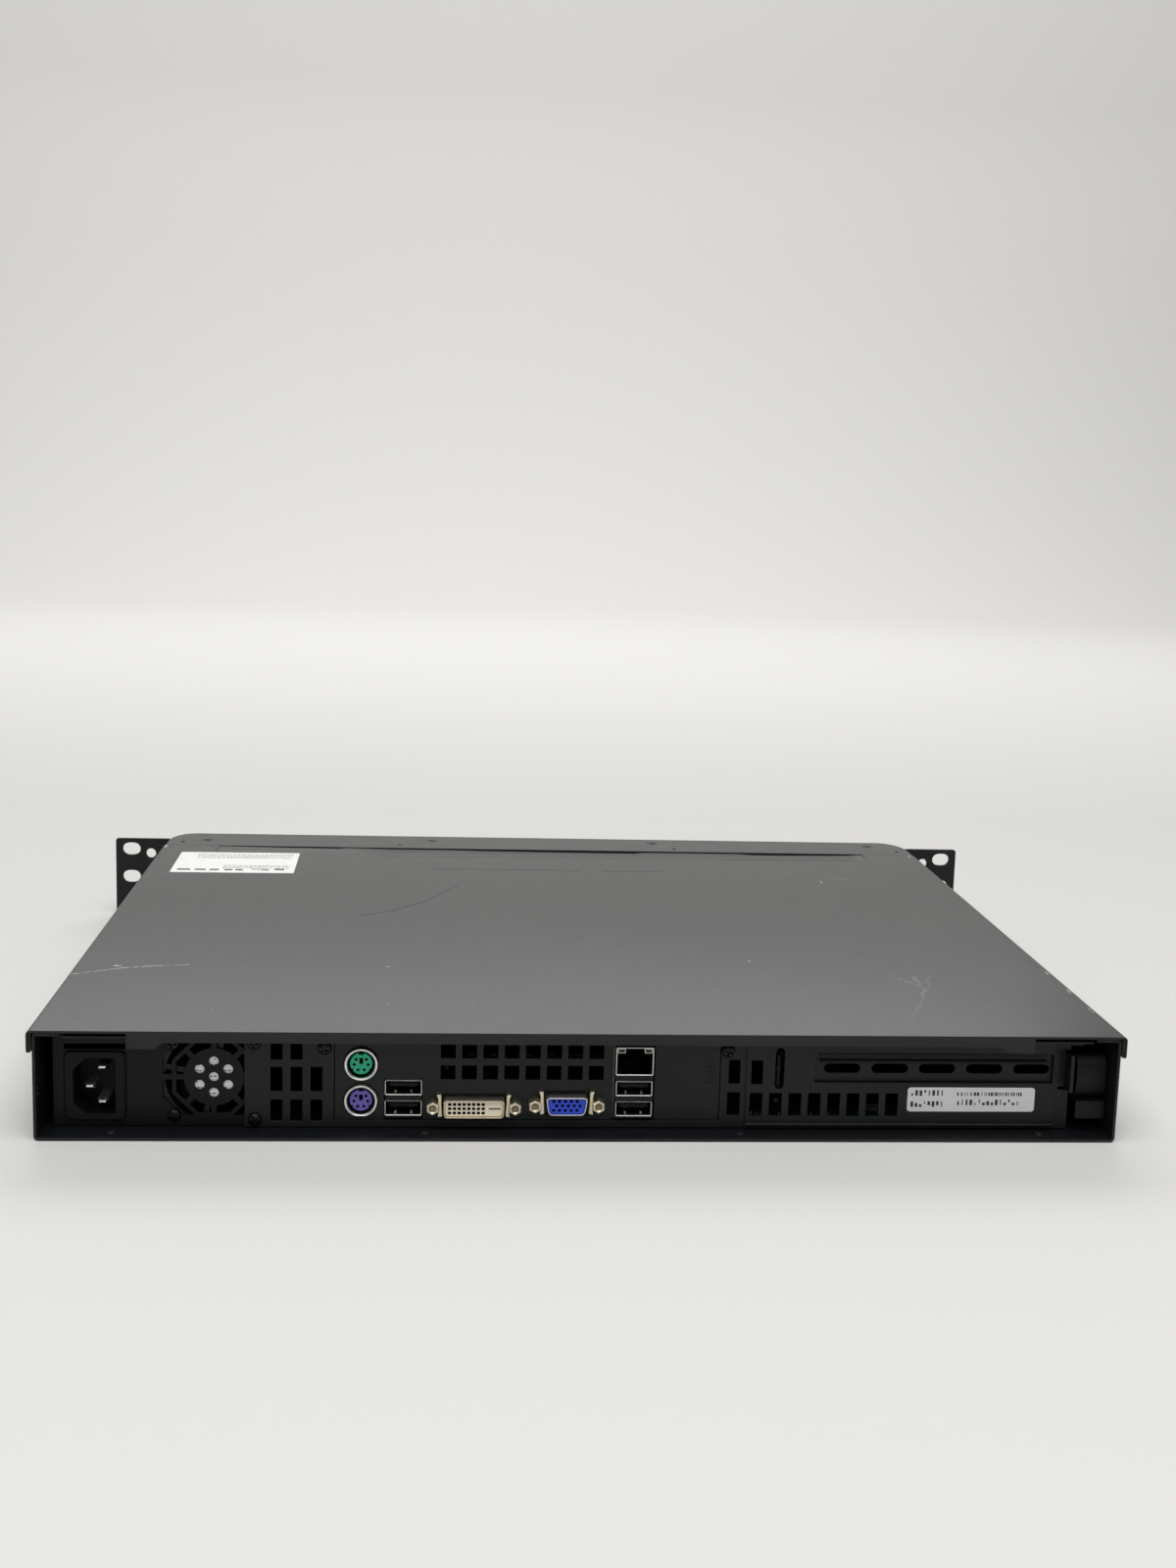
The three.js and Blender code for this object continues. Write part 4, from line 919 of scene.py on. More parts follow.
def ps2_sockets():
    """Two stacked round sockets: a plated cup, a dark gap and a coloured face with six holes."""
    box = Room("ps2_housing")
    x, front = box.mid.x, box.high.y
    face, back = front - 1.7, front - 8
    body = Shape().box((box.low.x, box.high.x), (box.low.y, panel_face - 2.4), (box.low.z, box.high.z))
    rings, hole_shade = Shape(), Shape()
    rim = [(6.6, 0.9), (6.5, 0.3), (6.3, 0.05), (6.0, 0.0), (5.7, 0.1), (5.45, 0.35), (5.35, 0.8)]
    cup = [(6.6, panel_face - 2)] + [(r, front - depth) for r, depth in rim]
    cup += [(5.35, back), (5.7, back), (6.1, panel_face - 2)]
    sleeve = [(5.33, back), (5.33, front - 1.1), (5.2, front - 1.1), (4.45, front - 5), (4.45, back)]
    for node, look in (("ps2_keyboard_insert", "purple"), ("ps2_mouse_insert", "green")):
        z = Room(node).mid.z
        rings.turned("y", (x, z), cup, 56, loop=True)
        body.turned("y", (x, z), sleeve, 48, loop=True)
        insert = Shape().turned("y", (x, z), [(4.4, front - 9), (4.4, face - 0.25), (4.2, face)], 48)
        holes = Shape()
        for dx, dz in ((-2.0, 1.7), (2.0, 1.7), (-2.7, -0.4), (2.7, -0.4), (-1.2, -2.5), (1.2, -2.5)):
            holes.rod("y", (x + dx, z + dz), 0.62, (face - 4, face + 1), 16)
            hole_shade.rod("y", (x + dx, z + dz), 0.61, (face - 4.5, face - 0.4), 16)
        key = panel((x, z + 1.1), 1.5, 2.4, 0.15)
        holes.prism("y", key, (face - 4, face + 1))
        hole_shade.prism("y", key, (face - 4.5, face - 0.45))
        for dx, dz, width, height in ((0, 4.15, 2.0, 1.3), (-3.7, -2.5, 1.3, 1.0), (3.7, -2.5, 1.3, 1.0)):
            holes.prism("y", panel((x + dx, z + dz), width, height), (face - 4, face + 1))
        insert.cut(holes)
        insert.piece(node + "_face", look, bevel=0.05, stands_for=[node])
    # Near-black plugs just under the face fill the pin holes: painted shade for the holes' depth.
    hole_shade.piece("ps2_pin_hole_shade", "painted_shade")
    lower_flat = 12.4 - 5.85
    rings.cut(Shape().box((x - 9, x + 9), (panel_face - 1, front + 1), (0, lower_flat)))
    rings.piece("ps2_rings", "bright_nickel", bevel=0.06, stands_for=["ps2_housing"])
    body.piece("ps2_body", "plastic", bevel=0.2)


def tube(shape, centre, size, wall, corner, span):
    """A thin-walled rectangular tube along Y with a rounded front rim."""
    width, height = size
    outer = panel(centre, width, height, corner)
    rim = panel(centre, width - wall * 0.6, height - wall * 0.6, corner * 0.8)
    inner = panel(centre, width - 2 * wall, height - 2 * wall, corner * 0.5)
    back, face = span
    sections = [(outer, back), (outer, face - wall * 0.4), (rim, face)]
    sections += [(inner, face - wall * 0.3), (inner, back)]
    return shape.loft("y", sections, loop=True)


def network_jack(name, shells, x, face, way, width, span):
    """A network jack that faces way along Y: shell, black body, contacts and two light windows."""
    low, high = span
    depth, lip = 14.2, 0.5

    def along(near, far):
        return sorted((face - near * way, face - far * way))

    if way > 0:
        tube(shells, (x, (low + high) / 2), (width, high - low), 0.38, 0.5, along(0, depth))
    half_width = width / 2 - lip
    body = Shape().box((x - half_width, x + half_width), along(lip, depth), (low + lip, high - lip))
    floor, shoulder = low + 0.9, high - 2.45
    latch, key = high - 1.6, high - 0.8
    half = [(6.4, floor), (6.4, shoulder), (3.3, shoulder), (3.3, latch), (2.4, latch), (2.4, key)]
    outline = [(x + dx, z) for dx, z in half + mirrored(half)]
    hollow = Shape().prism("y", outline, along(-1, depth - 1.2))
    windows = [(x + side * 5.3, high - 1.45) for side in (-1, 1)]
    for centre in windows:
        hollow.prism("y", panel(centre, 2.9, 1.7, 0.2), along(-1, 1.4))
    body.cut(hollow)
    guides = Shape()
    for side in (-1, 1):
        for bottom, height in ((floor, 2.4), (shoulder - 1.6, 1.6)):
            across = sorted((x + side * 6.4, x + side * 5.85))
            guides.box(across, along(2.5, depth - 1.5), (bottom, bottom + height))
    body.join(guides)
    # The jack body takes the near-black plastic of painted shade, darker and duller than the other black
    # plastic, so the inside of the jack reads as shaded.
    body.piece(name + "_jack_body", "painted_shade", bevel=0.1)
    wires, lamps, rims = Shape(), Shape(), Shape()
    for cx in spread(8, x, 1.02):
        path = [(cx, face - s * way, floor + rise) for s, rise in ((12.8, 0.4), (11, 1.9), (7.4, 0.5))]
        wires.sweep(path, circle((0, 0), 0.2, 6))
    wires.piece(name + "_jack_contacts", "gold")
    near, far = along(0.3, 1.2)
    for centre in windows:
        lamps.prism("y", panel(centre, 2.3, 1.1, 0.2), along(0.9, 1.3))
        outer, inner = panel(centre, 3.1, 1.9, 0.3), panel(centre, 2.5, 1.3, 0.2)
        rims.loft("y", [(outer, near), (outer, far), (inner, far), (inner, near)], loop=True)
    lamps.piece(name + "_jack_windows", "dark_lens", bevel=0.08)
    rims.piece(name + "_jack_window_rims", "nickel", bevel=0.05)


def usb_mouth(shells, plastic, contacts, x, z, face):
    """One flat socket: a thin plated shell with leaf springs, a black tongue and four contacts."""
    width, height = 14.4, 6.0
    tube(shells, (x, z), (width, height), 0.32, 0.5, (face - 12, face))
    spring = [(1.3, -2.6), (2.6, -1.7), (5, -2.3), (5, -2.55), (2.6, -1.95), (1.6, -2.8)]
    leaf = [(face - depth, z + dz) for depth, dz in spring]
    for side in (-1, 1):
        shells.prism("x", leaf, (x + side * 3.1 - 0.4, x + side * 3.1 + 0.4))
    tongue = [(10, -0.1), (1.9, -0.1), (1.5, 0.3), (1.5, 1.6), (10, 1.8)]
    plastic.prism("x", [(face - depth, z + dz) for depth, dz in tongue], (x - 5.6, x + 5.6))
    tube(plastic, (x, z), (width - 0.7, height - 0.7), 0.12, 0.3, (face - 11.8, face - 0.9))
    plastic.box((x - 6.7, x + 6.7), (face - 11.9, face - 9.8), (z - 2.5, z + 2.5))
    for cx in spread(4, x, 2.4):
        contacts.box((cx - 0.5, cx + 0.5), (face - 9.5, face - 4.6), (z - 0.22, z - 0.06))


def usb_and_lan():
    """Stacked flat sockets in thin plated shells, one stack with a network jack on top."""
    lan = Room("lan_usb_stack")
    shells, plastic, contacts = Shape(), Shape(), Shape()
    back = shield.high.y - 2
    for node in ("usb_stack", "lan_usb_stack"):
        room = Room(node)
        low, high = room.low, room.high
        x, face = room.mid.x, high.y
        mouths = Shape()
        for z in USB_LEVELS:
            usb_mouth(shells, plastic, contacts, x, z, face)
            mouths.box((x - 7.3, x + 7.3), (face - 12.2, face), (z - 3.1, z + 3.1))
        if node == "lan_usb_stack":
            mouths.box((x - 7.5, x + 7.5), (face - 14.4, face), (23.4, 35.1))
        case = Shape().box((low.x, high.x), (low.y, back - 0.1), (low.z, high.z)).cut(mouths)
        case.piece(node + "_case", "nickel", bevel=0.15, stands_for=[node])
        surround = Shape().box((low.x + 0.2, high.x - 0.2), (back, face - 1.7), (low.z + 0.2, high.z - 0.2))
        surround.cut(mouths).piece(node + "_surround", "plastic", bevel=0.1)
    network_jack("rear_lan", shells, lan.mid.x, lan.high.y, 1, 14.9, (23.55, 35.0))
    shells.piece("port_shells", "bright_nickel")
    plastic.piece("usb_tongues", "dull_black", bevel=0.08)
    contacts.piece("usb_contacts", "gold")


def video_socket(prefix, look, shell_size, slant, corner, shell_look, pins):
    """A video socket: rounded shell, moulded face with its holes, side springs and jack screws."""
    shell_node, insert_node = prefix + "_shell", prefix + "_insert"
    body, insert = Room(shell_node), Room(insert_node)
    x, z = insert.mid.x, insert.mid.z
    width, height = shell_size
    front, wall = body.high.y, 0.5
    low, high = body.low, body.high
    housing = Shape().box((low.x, high.x), (low.y, panel_face - 2.5), (low.z, high.z))
    housing.piece(prefix + "_housing", "plastic", bevel=0.3)

    def inset(amount, rounding):
        return dee((x, z), width - amount, height - amount, slant, corner - rounding)

    sections = [(inset(0, 0), panel_face - 2.2), (inset(0, 0), front - 0.35), (inset(0.35, 0.1), front)]
    shell = Shape().loft("y", sections)
    shell.cut(Shape().prism("y", inset(2 * wall, 0.3), (panel_face - 2.6, front + 1)))
    shell.piece(shell_node + "_sleeve", shell_look, bevel=0.1, stands_for=[shell_node])

    springs = Shape()
    bottom, crest = z - height / 2 + 0.1, z + height / 2 + 1.7
    arm = [(0, bottom), (1.9, bottom - 0.3), (1.5, z - 0.4), (1.7, crest - 1.8)]
    arm += [(2.3, crest), (0.5, crest), (0.4, z + 1.5)]
    for side in (-1, 1):
        near = x + side * (width / 2 + 0.35)
        springs.prism("y", [(near + side * out, up) for out, up in arm], (panel_face - 1.2, front - 1.9))
    springs.piece(prefix + "_springs", "warm_nickel", bevel=0.3, segments=3)

    face = insert.high.y
    moulding = Shape().prism("y", inset(2 * wall + 0.25, 0.35), (insert.low.y, face))
    moulding.cut(pins(x, z, (face - 3, face + 1)))
    moulding.piece(insert_node + "_face", look, bevel=0.04, stands_for=[insert_node])
    # Near-black plugs just under the face fill the pin holes: painted shade for the holes' depth.
    pins(x, z, (face - 2.9, face - 0.3)).piece(prefix + "_pin_hole_shade", "painted_shade")
    for number in (1, 2):
        jack_screw(f"{prefix}_jack_screw_{number}")


def jack_screw(node):
    """A hexagon stud with a threaded bore."""
    room = Room(node)
    x, z, front = room.mid.x, room.mid.z, room.high.y
    hexagon = circle((x, z), 2.35 / math.cos(math.pi / 6), 6, math.pi / 6)
    neck = circle((x, z), 2.3, 6, math.pi / 6)
    stud = Shape().loft("y", [(hexagon, panel_face - 0.2), (hexagon, front - 0.35), (neck, front)])
    thread = [(1.75, front + 0.5), (1.75, front - 0.1)]
    for i in range(5):
        thread += [(1.35, front - 0.4 - 0.7 * i), (1.55, front - 0.75 - 0.7 * i)]
    thread.append((0.1, front - 4.6))
    stud.cut(Shape().turned("y", (x, z), list(reversed(thread)), 20))
    stud.piece(node + "_stud", "warm_nickel", bevel=0.08, stands_for=[node])


def dvi_pins(x, z, span):
    """Three rows of eight square holes on the +X side and the blade's slot on the other."""
    holes = Shape()
    for px in spread(8, x + 2.9, 1.87):
        for pz in spread(3, z, 1.72):
            holes.prism("y", panel((px, pz), 1.34, 1.2, 0.15), span)
    return holes.prism("y", panel((x - 8.1, z), 4.6, 0.6), span)


def vga_pins(x, z, span):
    """Three staggered rows of five round holes."""
    holes = Shape()
    for row, shift in ((1.85, 0.0), (0.0, 1.15), (-1.85, 0.0)):
        for px in spread(5, x - shift + 0.55, 2.29):
            holes.rod("y", (px, z + row), 0.68, span, 14)
    return holes


# ---------------------------------------------------------------- power supply and fans


def power_supply():
    """The supply's case, cover and board, and its mains inlet with three blades."""
    remake("psu_case", "supply_black", 0.25)
    remake("psu_cover", "steel", 0.2)
    remake("psu_board", "board", 0.2)
    inlet = Room("psu_inlet")
    x, z = inlet.mid.x, inlet.mid.z
    wall, front = Room("psu_case").high.y, inlet.high.y
    flange = panel((x, z), inlet.size.x, inlet.size.z, 2.2, 6)
    lip = panel((x, z), inlet.size.x - 0.9, inlet.size.z - 0.9, 2.0, 6)
    shape = Shape().loft("y", [(flange, wall + 0.3), (flange, front - 0.4), (lip, front)])
    shape.join(Shape().box((x - 9, x + 9), (inlet.low.y, wall + 1), (z - 11.5, z + 11.5)))
    half = [(-7.9, 11.2), (3.2, 11.2), (8.1, 6.6)]
    recess = [(x + dx, z - dz) for dx, dz in half] + [(x + dx, z + dz) for dx, dz in reversed(half)]
    hollow = Shape().prism("y", recess, (wall - 14, front + 1))
    hollow.round(0.9, lambda middle, edge: abs(edge.verts[0].co.y - edge.verts[1].co.y) > 5 * MM)
    shape.cut(hollow)
    shape.piece("inlet_body", "dull_black", bevel=0.2, stands_for=["psu_inlet"])
    blades = Shape()
    for dx, dz in ((2.5, -1.2), (-2.3, 6.4), (-2.3, -7.4)):
        full, tip = panel((x + dx, z + dz), 4, 2, 0.3), panel((x + dx, z + dz), 2.6, 0.8, 0.3)
        blades.loft("y", [(full, wall - 14), (full, wall - 3.2), (tip, wall - 2)])
    blades.piece("inlet_blades", "bright_nickel", bevel=0.1)


def fan_frame(prefix, size, depth, hub, hole_gap, stand):
    """A square fan frame with screw holes, a hub and four struts."""
    half, strut = size / 2, 1.6
    housing = Shape().prism("z", panel((0, 0), size, size, 3.2, 6), (0, depth))
    wide, narrow = half - 0.6, half - 1.1
    throat = [(wide, -1), (wide, 0), (narrow, 1.2), (narrow, depth - 1.2), (wide, depth), (wide, depth + 1)]
    housing.cut(Shape().turned("z", (0, 0), throat, 64))
    holes, struts = Shape(), Shape()
    for sx in (-1, 1):
        for sy in (-1, 1):
            holes.rod("z", (sx * hole_gap / 2, sy * hole_gap / 2), 1.75, (-1, depth + 1), 16)
    housing.cut(holes)
    housing.join(Shape().turned("z", (0, 0), [(hub, 0), (hub, strut)], 40))
    for i in range(4):
        angle = math.radians(90 * i + 12)
        along = Vector((math.cos(angle), math.sin(angle)))
        across = Vector((-along.y, along.x)) * 1.0
        near, far = along * (hub - 1), along * (half - 0.8)
        outline = [tuple(near + across), tuple(near - across), tuple(far - across), tuple(far + across)]
        struts.prism("z", outline, (0.05, strut))
    housing.join(struts)
    housing.move(stand).piece(prefix + "_housing", "plastic", bevel=0.2, stands_for=[prefix + "_frame"])


def blade_rings(hub, tip, low, high, turn):
    """Sections of one swept fan blade, from hub to tip, about the local z axis."""
    rings = []
    for i in range(7):
        share = i / 6
        r = hub - 0.6 + (tip - hub + 0.6) * share
        chord = (7.5 + 6.5 * share) * tip / 18
        pitch = math.radians(48 - 14 * share)
        sweep = 0.28 * share**1.5
        height = min(high - low, chord * math.sin(pitch))
        ring = []
        for edge, skew in [(s / 5, 1) for s in range(6)] + [(s / 5, -1) for s in range(5, -1, -1)]:
            along = (edge - 0.5) * chord * math.cos(pitch)
            rise = (low + high) / 2 + (edge - 0.5) * height + 0.9 * math.sin(math.pi * edge)
            thick = 0.5 * skew * (0.35 + 0.65 * math.sin(math.pi * min(0.95, edge + 0.05)))
            angle = turn + sweep + along / r
            ring.append((r * math.cos(angle), r * math.sin(angle), rise + thick))
        rings.append(ring)
    return rings


def fan(prefix, size, depth, hub, hole_gap, stand):
    """An axial fan: its frame, a bladed rotor and a sticker on the hub."""
    fan_frame(prefix, size, depth, hub, hole_gap, stand)
    low, high = 2.2, depth - 0.8
    tip = size / 2 - 2.2
    bell = [(hub - 1.2, low + 0.1), (hub, low + 0.6), (hub, high - 1.0)]
    bell += [(hub - 0.3, high - 0.4), (hub - 1.2, high)]
    rotor = Shape().turned("z", (0, 0), bell, 40)
    for i in range(7):
        rotor.join(Shape().skin(blade_rings(hub, tip, low + 0.5, high - 0.9, 2 * math.pi * i / 7)))
    rotor.move(stand).piece(prefix + "_impeller", "plastic", body=prefix, stands_for=[prefix + "_rotor"])

    disc = Shape().turned("z", (0, 0), [(hub - 0.5, 0.05), (hub - 0.5, -0.12), (hub - 0.7, -0.15)], 40)
    disc.move(stand).piece(prefix + "_label", "silver_label", "black_plastic")
    chance = random.Random(size)
    marks = Shape()
    for row in range(7):
        y = hub * (0.72 - 0.24 * row)
        x = -hub * 0.8
        while x < hub * 0.75:
            w = chance.uniform(0.5, 1.3)
            if math.hypot(x + w / 2, y) < hub - 1.6 and chance.random() < 0.62:
                marks.box((x, x + w), (y - 0.22, y + 0.22), (-0.19, -0.13))
            x += w + chance.uniform(0.35, 0.8)
    marks.move(stand).piece(prefix + "_label_print", "print", "black_plastic")


def standing(place, degrees):
    """A fan's stand: its local z axis tipped about X, with its label side at a place."""
    return Matrix.Translation(Vector(place)) @ Matrix.Rotation(math.radians(degrees), 4, "X")


# ---------------------------------------------------------------- labels


def label(name, size, corner, marks, stand, body, look="label"):
    """A stuck-on label in its own plane, with blocks of print that spell nothing."""
    width, height = size
    sheet = Shape().prism("z", panel((0, 0), width, height, corner, 5), (0, 0.12)).move(stand)
    sheet.piece(name, look, body=body, bevel=0.03)
    blocks = Shape()
    for x, y, w, h in marks:
        blocks.prism("z", panel((x, y), w, h), (0.08, 0.14))
    blocks.move(stand)
    blocks.piece(name + "_print", "print", body=body)


def text_rows(left, right, rows, height, seed):
    """Rows of short dashes that read as small print from afar and as dashes close to."""
    chance = random.Random(seed)
    marks = []
    for y in rows:
        x = left
        while x < right - 1:
            w = min(right - x, chance.uniform(0.7, 2.6) * height)
            marks.append((x + w / 2, y, w, height))
            x += w + chance.uniform(0.35, 0.8) * height
    return marks


def bar_code(left, right, y, height, pitch, seed):
    """A row of bars of random width, which encode nothing."""
    chance = random.Random(seed)
    marks = []
    x = left
    while x < right:
        w = pitch * chance.choice((0.5, 0.5, 1.0, 1.5))
        marks.append((x + w / 2, y, w, height))
        x += w + pitch * chance.choice((0.5, 1.0, 1.5))
    return marks


def glyph_rows(left, baselines, size, count, seed):
    """Rows of small solid blocks where characters would be."""
    chance = random.Random(seed)
    marks = []
    for y in baselines:
        for i in range(count):
            x = left + i * size * 0.72
            height = size * chance.choice((0.45, 0.7, 0.95))
            low = y + chance.choice((0, 1)) * (size - height)
            marks.append((x + 0.25 * size, low + height / 2, size * chance.choice((0.18, 0.3, 0.46)), height))
    return marks


def labels():
    """The rear label and the one on the lid, with strokes and bars in place of any real print."""
    marks = glyph_rows(-24.6, (1.5, -3.1), 2.4, 8, 3) + bar_code(-5.8, 20.5, 2.3, 1.5, 0.62, 5)
    marks += glyph_rows(-5.8, (-2.3,), 2.4, 15, 7)
    face = panel_face + 0.8
    stand = Matrix.Translation(Vector((-154.6, face - 0.02, 13.8)))
    stand = stand @ Matrix.Rotation(math.radians(180), 4, "Z") @ Matrix.Rotation(math.radians(90), 4, "X")
    # The rear label takes the greyed-down stock, painted shade for the shaded rear face.
    label("serial_label", (51.8, 10.0), 1.3, marks, stand, "chassis", "rear_label_shaded")

    marks = text_rows(-6, 29, (-8, -11, -14), 0.9, 11) + text_rows(-22, 29, (20, 17, 14, 11), 0.9, 13)
    marks += text_rows(-29, 6, (-18.5,), 3.4, 19) + [(14, -17, 9, 1.6), (17, -19, 4, 1.2), (24, -17, 5, 3.6)]
    stand = Matrix.Translation(Vector((167.5, -112.8, top - 0.02)))
    stand = stand @ Matrix.Rotation(math.radians(180.6), 4, "Z")
    label("lid_label", (64, 51), 1.0, marks, stand, "cover")


# ---------------------------------------------------------------- main board


def main_board():
    """The board on its nine posts."""
    (x0, x1), (y0, y1) = BOARD_X, BOARD_Y
    low = BOARD_TOP - 1.6
    outline = panel(((x0 + x1) / 2, (y0 + y1) / 2), x1 - x0, y1 - y0, 1.5, 4)
    sheet = Shape().prism("z", outline, (low, BOARD_TOP))
    holes = Shape()
    for place in BOARD_POSTS:
        holes.rod("z", place, 1.9, (low - 1, BOARD_TOP + 1), 20)
    sheet.cut(holes)
    sheet.piece("main_board", "board", bevel=0.15, stands_for=["motherboard"])
    for number, (x, y) in enumerate(BOARD_POSTS):
        column, row = divmod(number, 3)
        turn = 40 * column + 25 * row
        screw(f"board_screw_{number + 1}", (x, y, BOARD_TOP), "+z", 2.9, 1.6, turn=turn)


def hollow_block(x, y, z, well_x, well_y, floor):
    """A socket body: a block with a rectangular well from floor up through its top."""
    block = Shape().box(x, y, z)
    return block.cut(Shape().box(well_x, well_y, (floor, z[1] + 1)))


def board_sockets():
    """Sockets for cards, memory, processor, power and drive data."""
    foot = BOARD_TOP - 0.1
    cards, memory, latches, drives = Shape(), Shape(), Shape(), Shape()
    for i in range(4):
        x = -68 - 20.3 * i
        body = hollow_block((x - 3.9, x + 3.9), (40, 125), (foot, 15.8), (x - 0.9, x + 0.9), (42, 123), 8)
        cards.add(body.cut(Shape().box((x - 3, x + 3), (41.5, 42.6), (8, 17))))
    cards.piece("card_sockets", "plastic", "circuit_board", bevel=0.25)
    for y in (-14, -24):
        rail = hollow_block((-40, 94), (y - 3.1, y + 3.1), (foot, 11.5), (-38, 92), (y - 1.2, y + 1.2), 8.4)
        memory.add(rail)
        for x, way in ((-40.5, -1), (94.5, 1)):
            half = [(-1.4, 6), (0.9, 6), (1.5, 13.6), (0.2, 14), (-0.6, 10)]
            latches.prism("y", [(x + dx * way, z) for dx, z in half], (y - 2.2, y + 2.2))
    memory.piece("memory_sockets", "plastic", bevel=0.2)
    latches.piece("memory_latches", "white", bevel=0.2)

    base = Shape().prism("z", panel((8, 78), 42, 42, 1.5), (foot, 12.9))
    base.piece("processor_socket", "plastic", bevel=0.3)
    cells = Shape()
    for x in (84.4, 88.6):
        for y in spread(12, 28, 4.2):
            cells.prism("z", panel((x, y), 3.3, 3.3, 0.6), (11, 18))
    power = Shape().box((82, 91), (2, 54), (foot, 17)).cut(cells)
    power.piece("power_socket", "white", bevel=0.2)
    for i in range(4):
        x = -70 - 14 * i
        drives.add(hollow_block((x - 6, x + 6), (-48, -42), (foot, 13.4), (x - 5, x + 5), (-46.8, -43.2), 7))
        drives.box((x - 4, x + 4), (-45.4, -44.6), (6.9, 12.6))
    drives.piece("data_sockets", "red", "circuit_board", bevel=0.2)


def board_chips(chance):
    """Chips with their legs, and small parts strewn over the board."""
    chips, legs = Shape(), Shape()
    places = [(-92, -12, 16, 16), (-120, 158, 16, 16), (-30, 140, 9, 7), (66, 140, 10, 10), (-112, 12, 12, 8)]
    places += [(-50, 150, 7, 5), (40, 150, 7, 5), (60, 20, 12, 6), (-124, -34, 7, 5), (30, 16, 8, 8)]
    for x, y, w, h in places:
        foot, crown = panel((x, y), w, h, 0.3, 2), panel((x, y), w - 0.5, h - 0.5, 0.3, 2)
        chips.loft("z", [(foot, BOARD_TOP + 0.15), (foot, BOARD_TOP + 0.9), (crown, BOARD_TOP + 1.7)])
        for side in (-1, 1):
            for lx in spread(int(w / 1.3), x, 1.27):
                near = sorted((y + side * (h / 2 - 0.1), y + side * (h / 2 + 1.0)))
                legs.box((lx - 0.22, lx + 0.22), near, (BOARD_TOP, BOARD_TOP + 0.5))
    for i in range(60):
        x = chance.uniform(BOARD_X[0] + 6, BOARD_X[1] - 6)
        y = chance.uniform(BOARD_Y[0] + 6, BOARD_Y[1] - 20)
        legs.box((x - 0.9, x + 0.9), (y - 0.5, y + 0.5), (BOARD_TOP - 0.05, BOARD_TOP + 0.6))
    chips.piece("board_chips", "plastic", bevel=0.1)
    legs.piece("board_chip_legs", "nickel")


def board_cans():
    """Capacitors, inductors and the coin cell in its holder."""
    cans, sleeves, coils = Shape(), Shape(), Shape()
    spots = [(-44 + 11 * i, 128) for i in range(9)] + [(60, 44 + 11 * i) for i in range(6)]
    spots += [(-40, 30 + 10 * i) for i in range(3)] + [(-134, 20 + 12 * i) for i in range(4)]
    for spot in spots:
        sleeves.turned("z", spot, [(3.9, BOARD_TOP), (4.0, BOARD_TOP + 0.6), (4.0, 13.6), (3.7, 14.0)], 20)
        cans.turned("z", spot, [(3.4, 13.5), (3.5, 14.1), (3.2, 14.2), (0.3, 14.15)], 20)
    sleeves.piece("capacitor_sleeves", "plastic")
    cans.piece("capacitor_cans", "aluminium")
    for i in range(4):
        coils.prism("z", panel((40 - 13 * i, 142), 10, 10, 1), (BOARD_TOP, 11))
    coils.piece("inductors", "dark_metal", "black_plastic", bevel=0.5)
    for name, look, bevel, profile in (
        ("coin_cell", "nickel", 0.15, [(9.6, 1.6), (10, 2), (10, 4.6), (9.4, 5)]),
        ("coin_holder", "plastic", 0, [(11.4, 0), (11.4, 2.4), (10.2, 2.4), (10.2, 1.4), (0.4, 1.4)]),
    ):
        disc = Shape().turned("z", (-104, -34), [(r, BOARD_TOP + z) for r, z in profile], 40)
        disc.piece(name, look, bevel=bevel)


def board_pins(chance):
    """Pin headers, and solder joints along the rear edge."""
    pins, blocks, joints = Shape(), Shape(), Shape()
    for x, y, count in ((52, -42, 10), (86, -42, 5), (-20, -44, 8)):
        blocks.box((x - count * 1.27, x + count * 1.27), (y - 2.5, y + 2.5), (BOARD_TOP, BOARD_TOP + 1.5))
        for px in spread(count, x, 2.54):
            for py in (y - 1.27, y + 1.27):
                pins.box((px - 0.3, px + 0.3), (py - 0.3, py + 0.3), (BOARD_TOP, BOARD_TOP + 6))
    blocks.piece("pin_headers", "plastic", bevel=0.2)
    pins.piece("header_pins", "gold", bevel=0.1)
    for i in range(18):
        x, r = chance.uniform(-105, -64), chance.uniform(0.2, 0.45)
        cone = [(r, -0.05), (r * 0.9, 0.7), (r * 0.3, 1.4), (0.1, 1.5)]
        y = 174.6 + chance.uniform(-0.8, 0.6)
        joints.turned("z", (x, y), [(radius, BOARD_TOP + z) for radius, z in cone], 10)
    joints.piece("solder_joints", "nickel")


def heatsinks():
    """The finned processor cooler and the small cooler with square pins."""
    cpu, small = Room("cpu_heatsink"), Room("chipset_heatsink")
    fins, base_top = 27, 16.6
    shape = Shape().box((cpu.low.x, cpu.high.x), (cpu.low.y, cpu.high.y), (cpu.low.z, base_top))
    for x in spread(fins, cpu.mid.x, (cpu.size.x - 1) / (fins - 1)):
        shape.box((x - 0.5, x + 0.5), (cpu.low.y, cpu.high.y), (base_top - 0.1, cpu.high.z))
    shape.piece("cooler_fins", "aluminium", bevel=0.15, stands_for=["cpu_heatsink"])
    shape = Shape().box((small.low.x, small.high.x), (small.low.y, small.high.y), (small.low.z, 8))
    for x in spread(8, small.mid.x, 4.4):
        for y in spread(8, small.mid.y, 4.4):
            foot, tip = panel((x, y), 2.4, 2.4, 0.3, 1), panel((x, y), 1.9, 1.9, 0.3, 1)
            shape.loft("z", [(foot, 7.9), (tip, small.high.z)])
    shape.piece("chipset_fins", "aluminium", bevel=0.12, stands_for=["chipset_heatsink"])


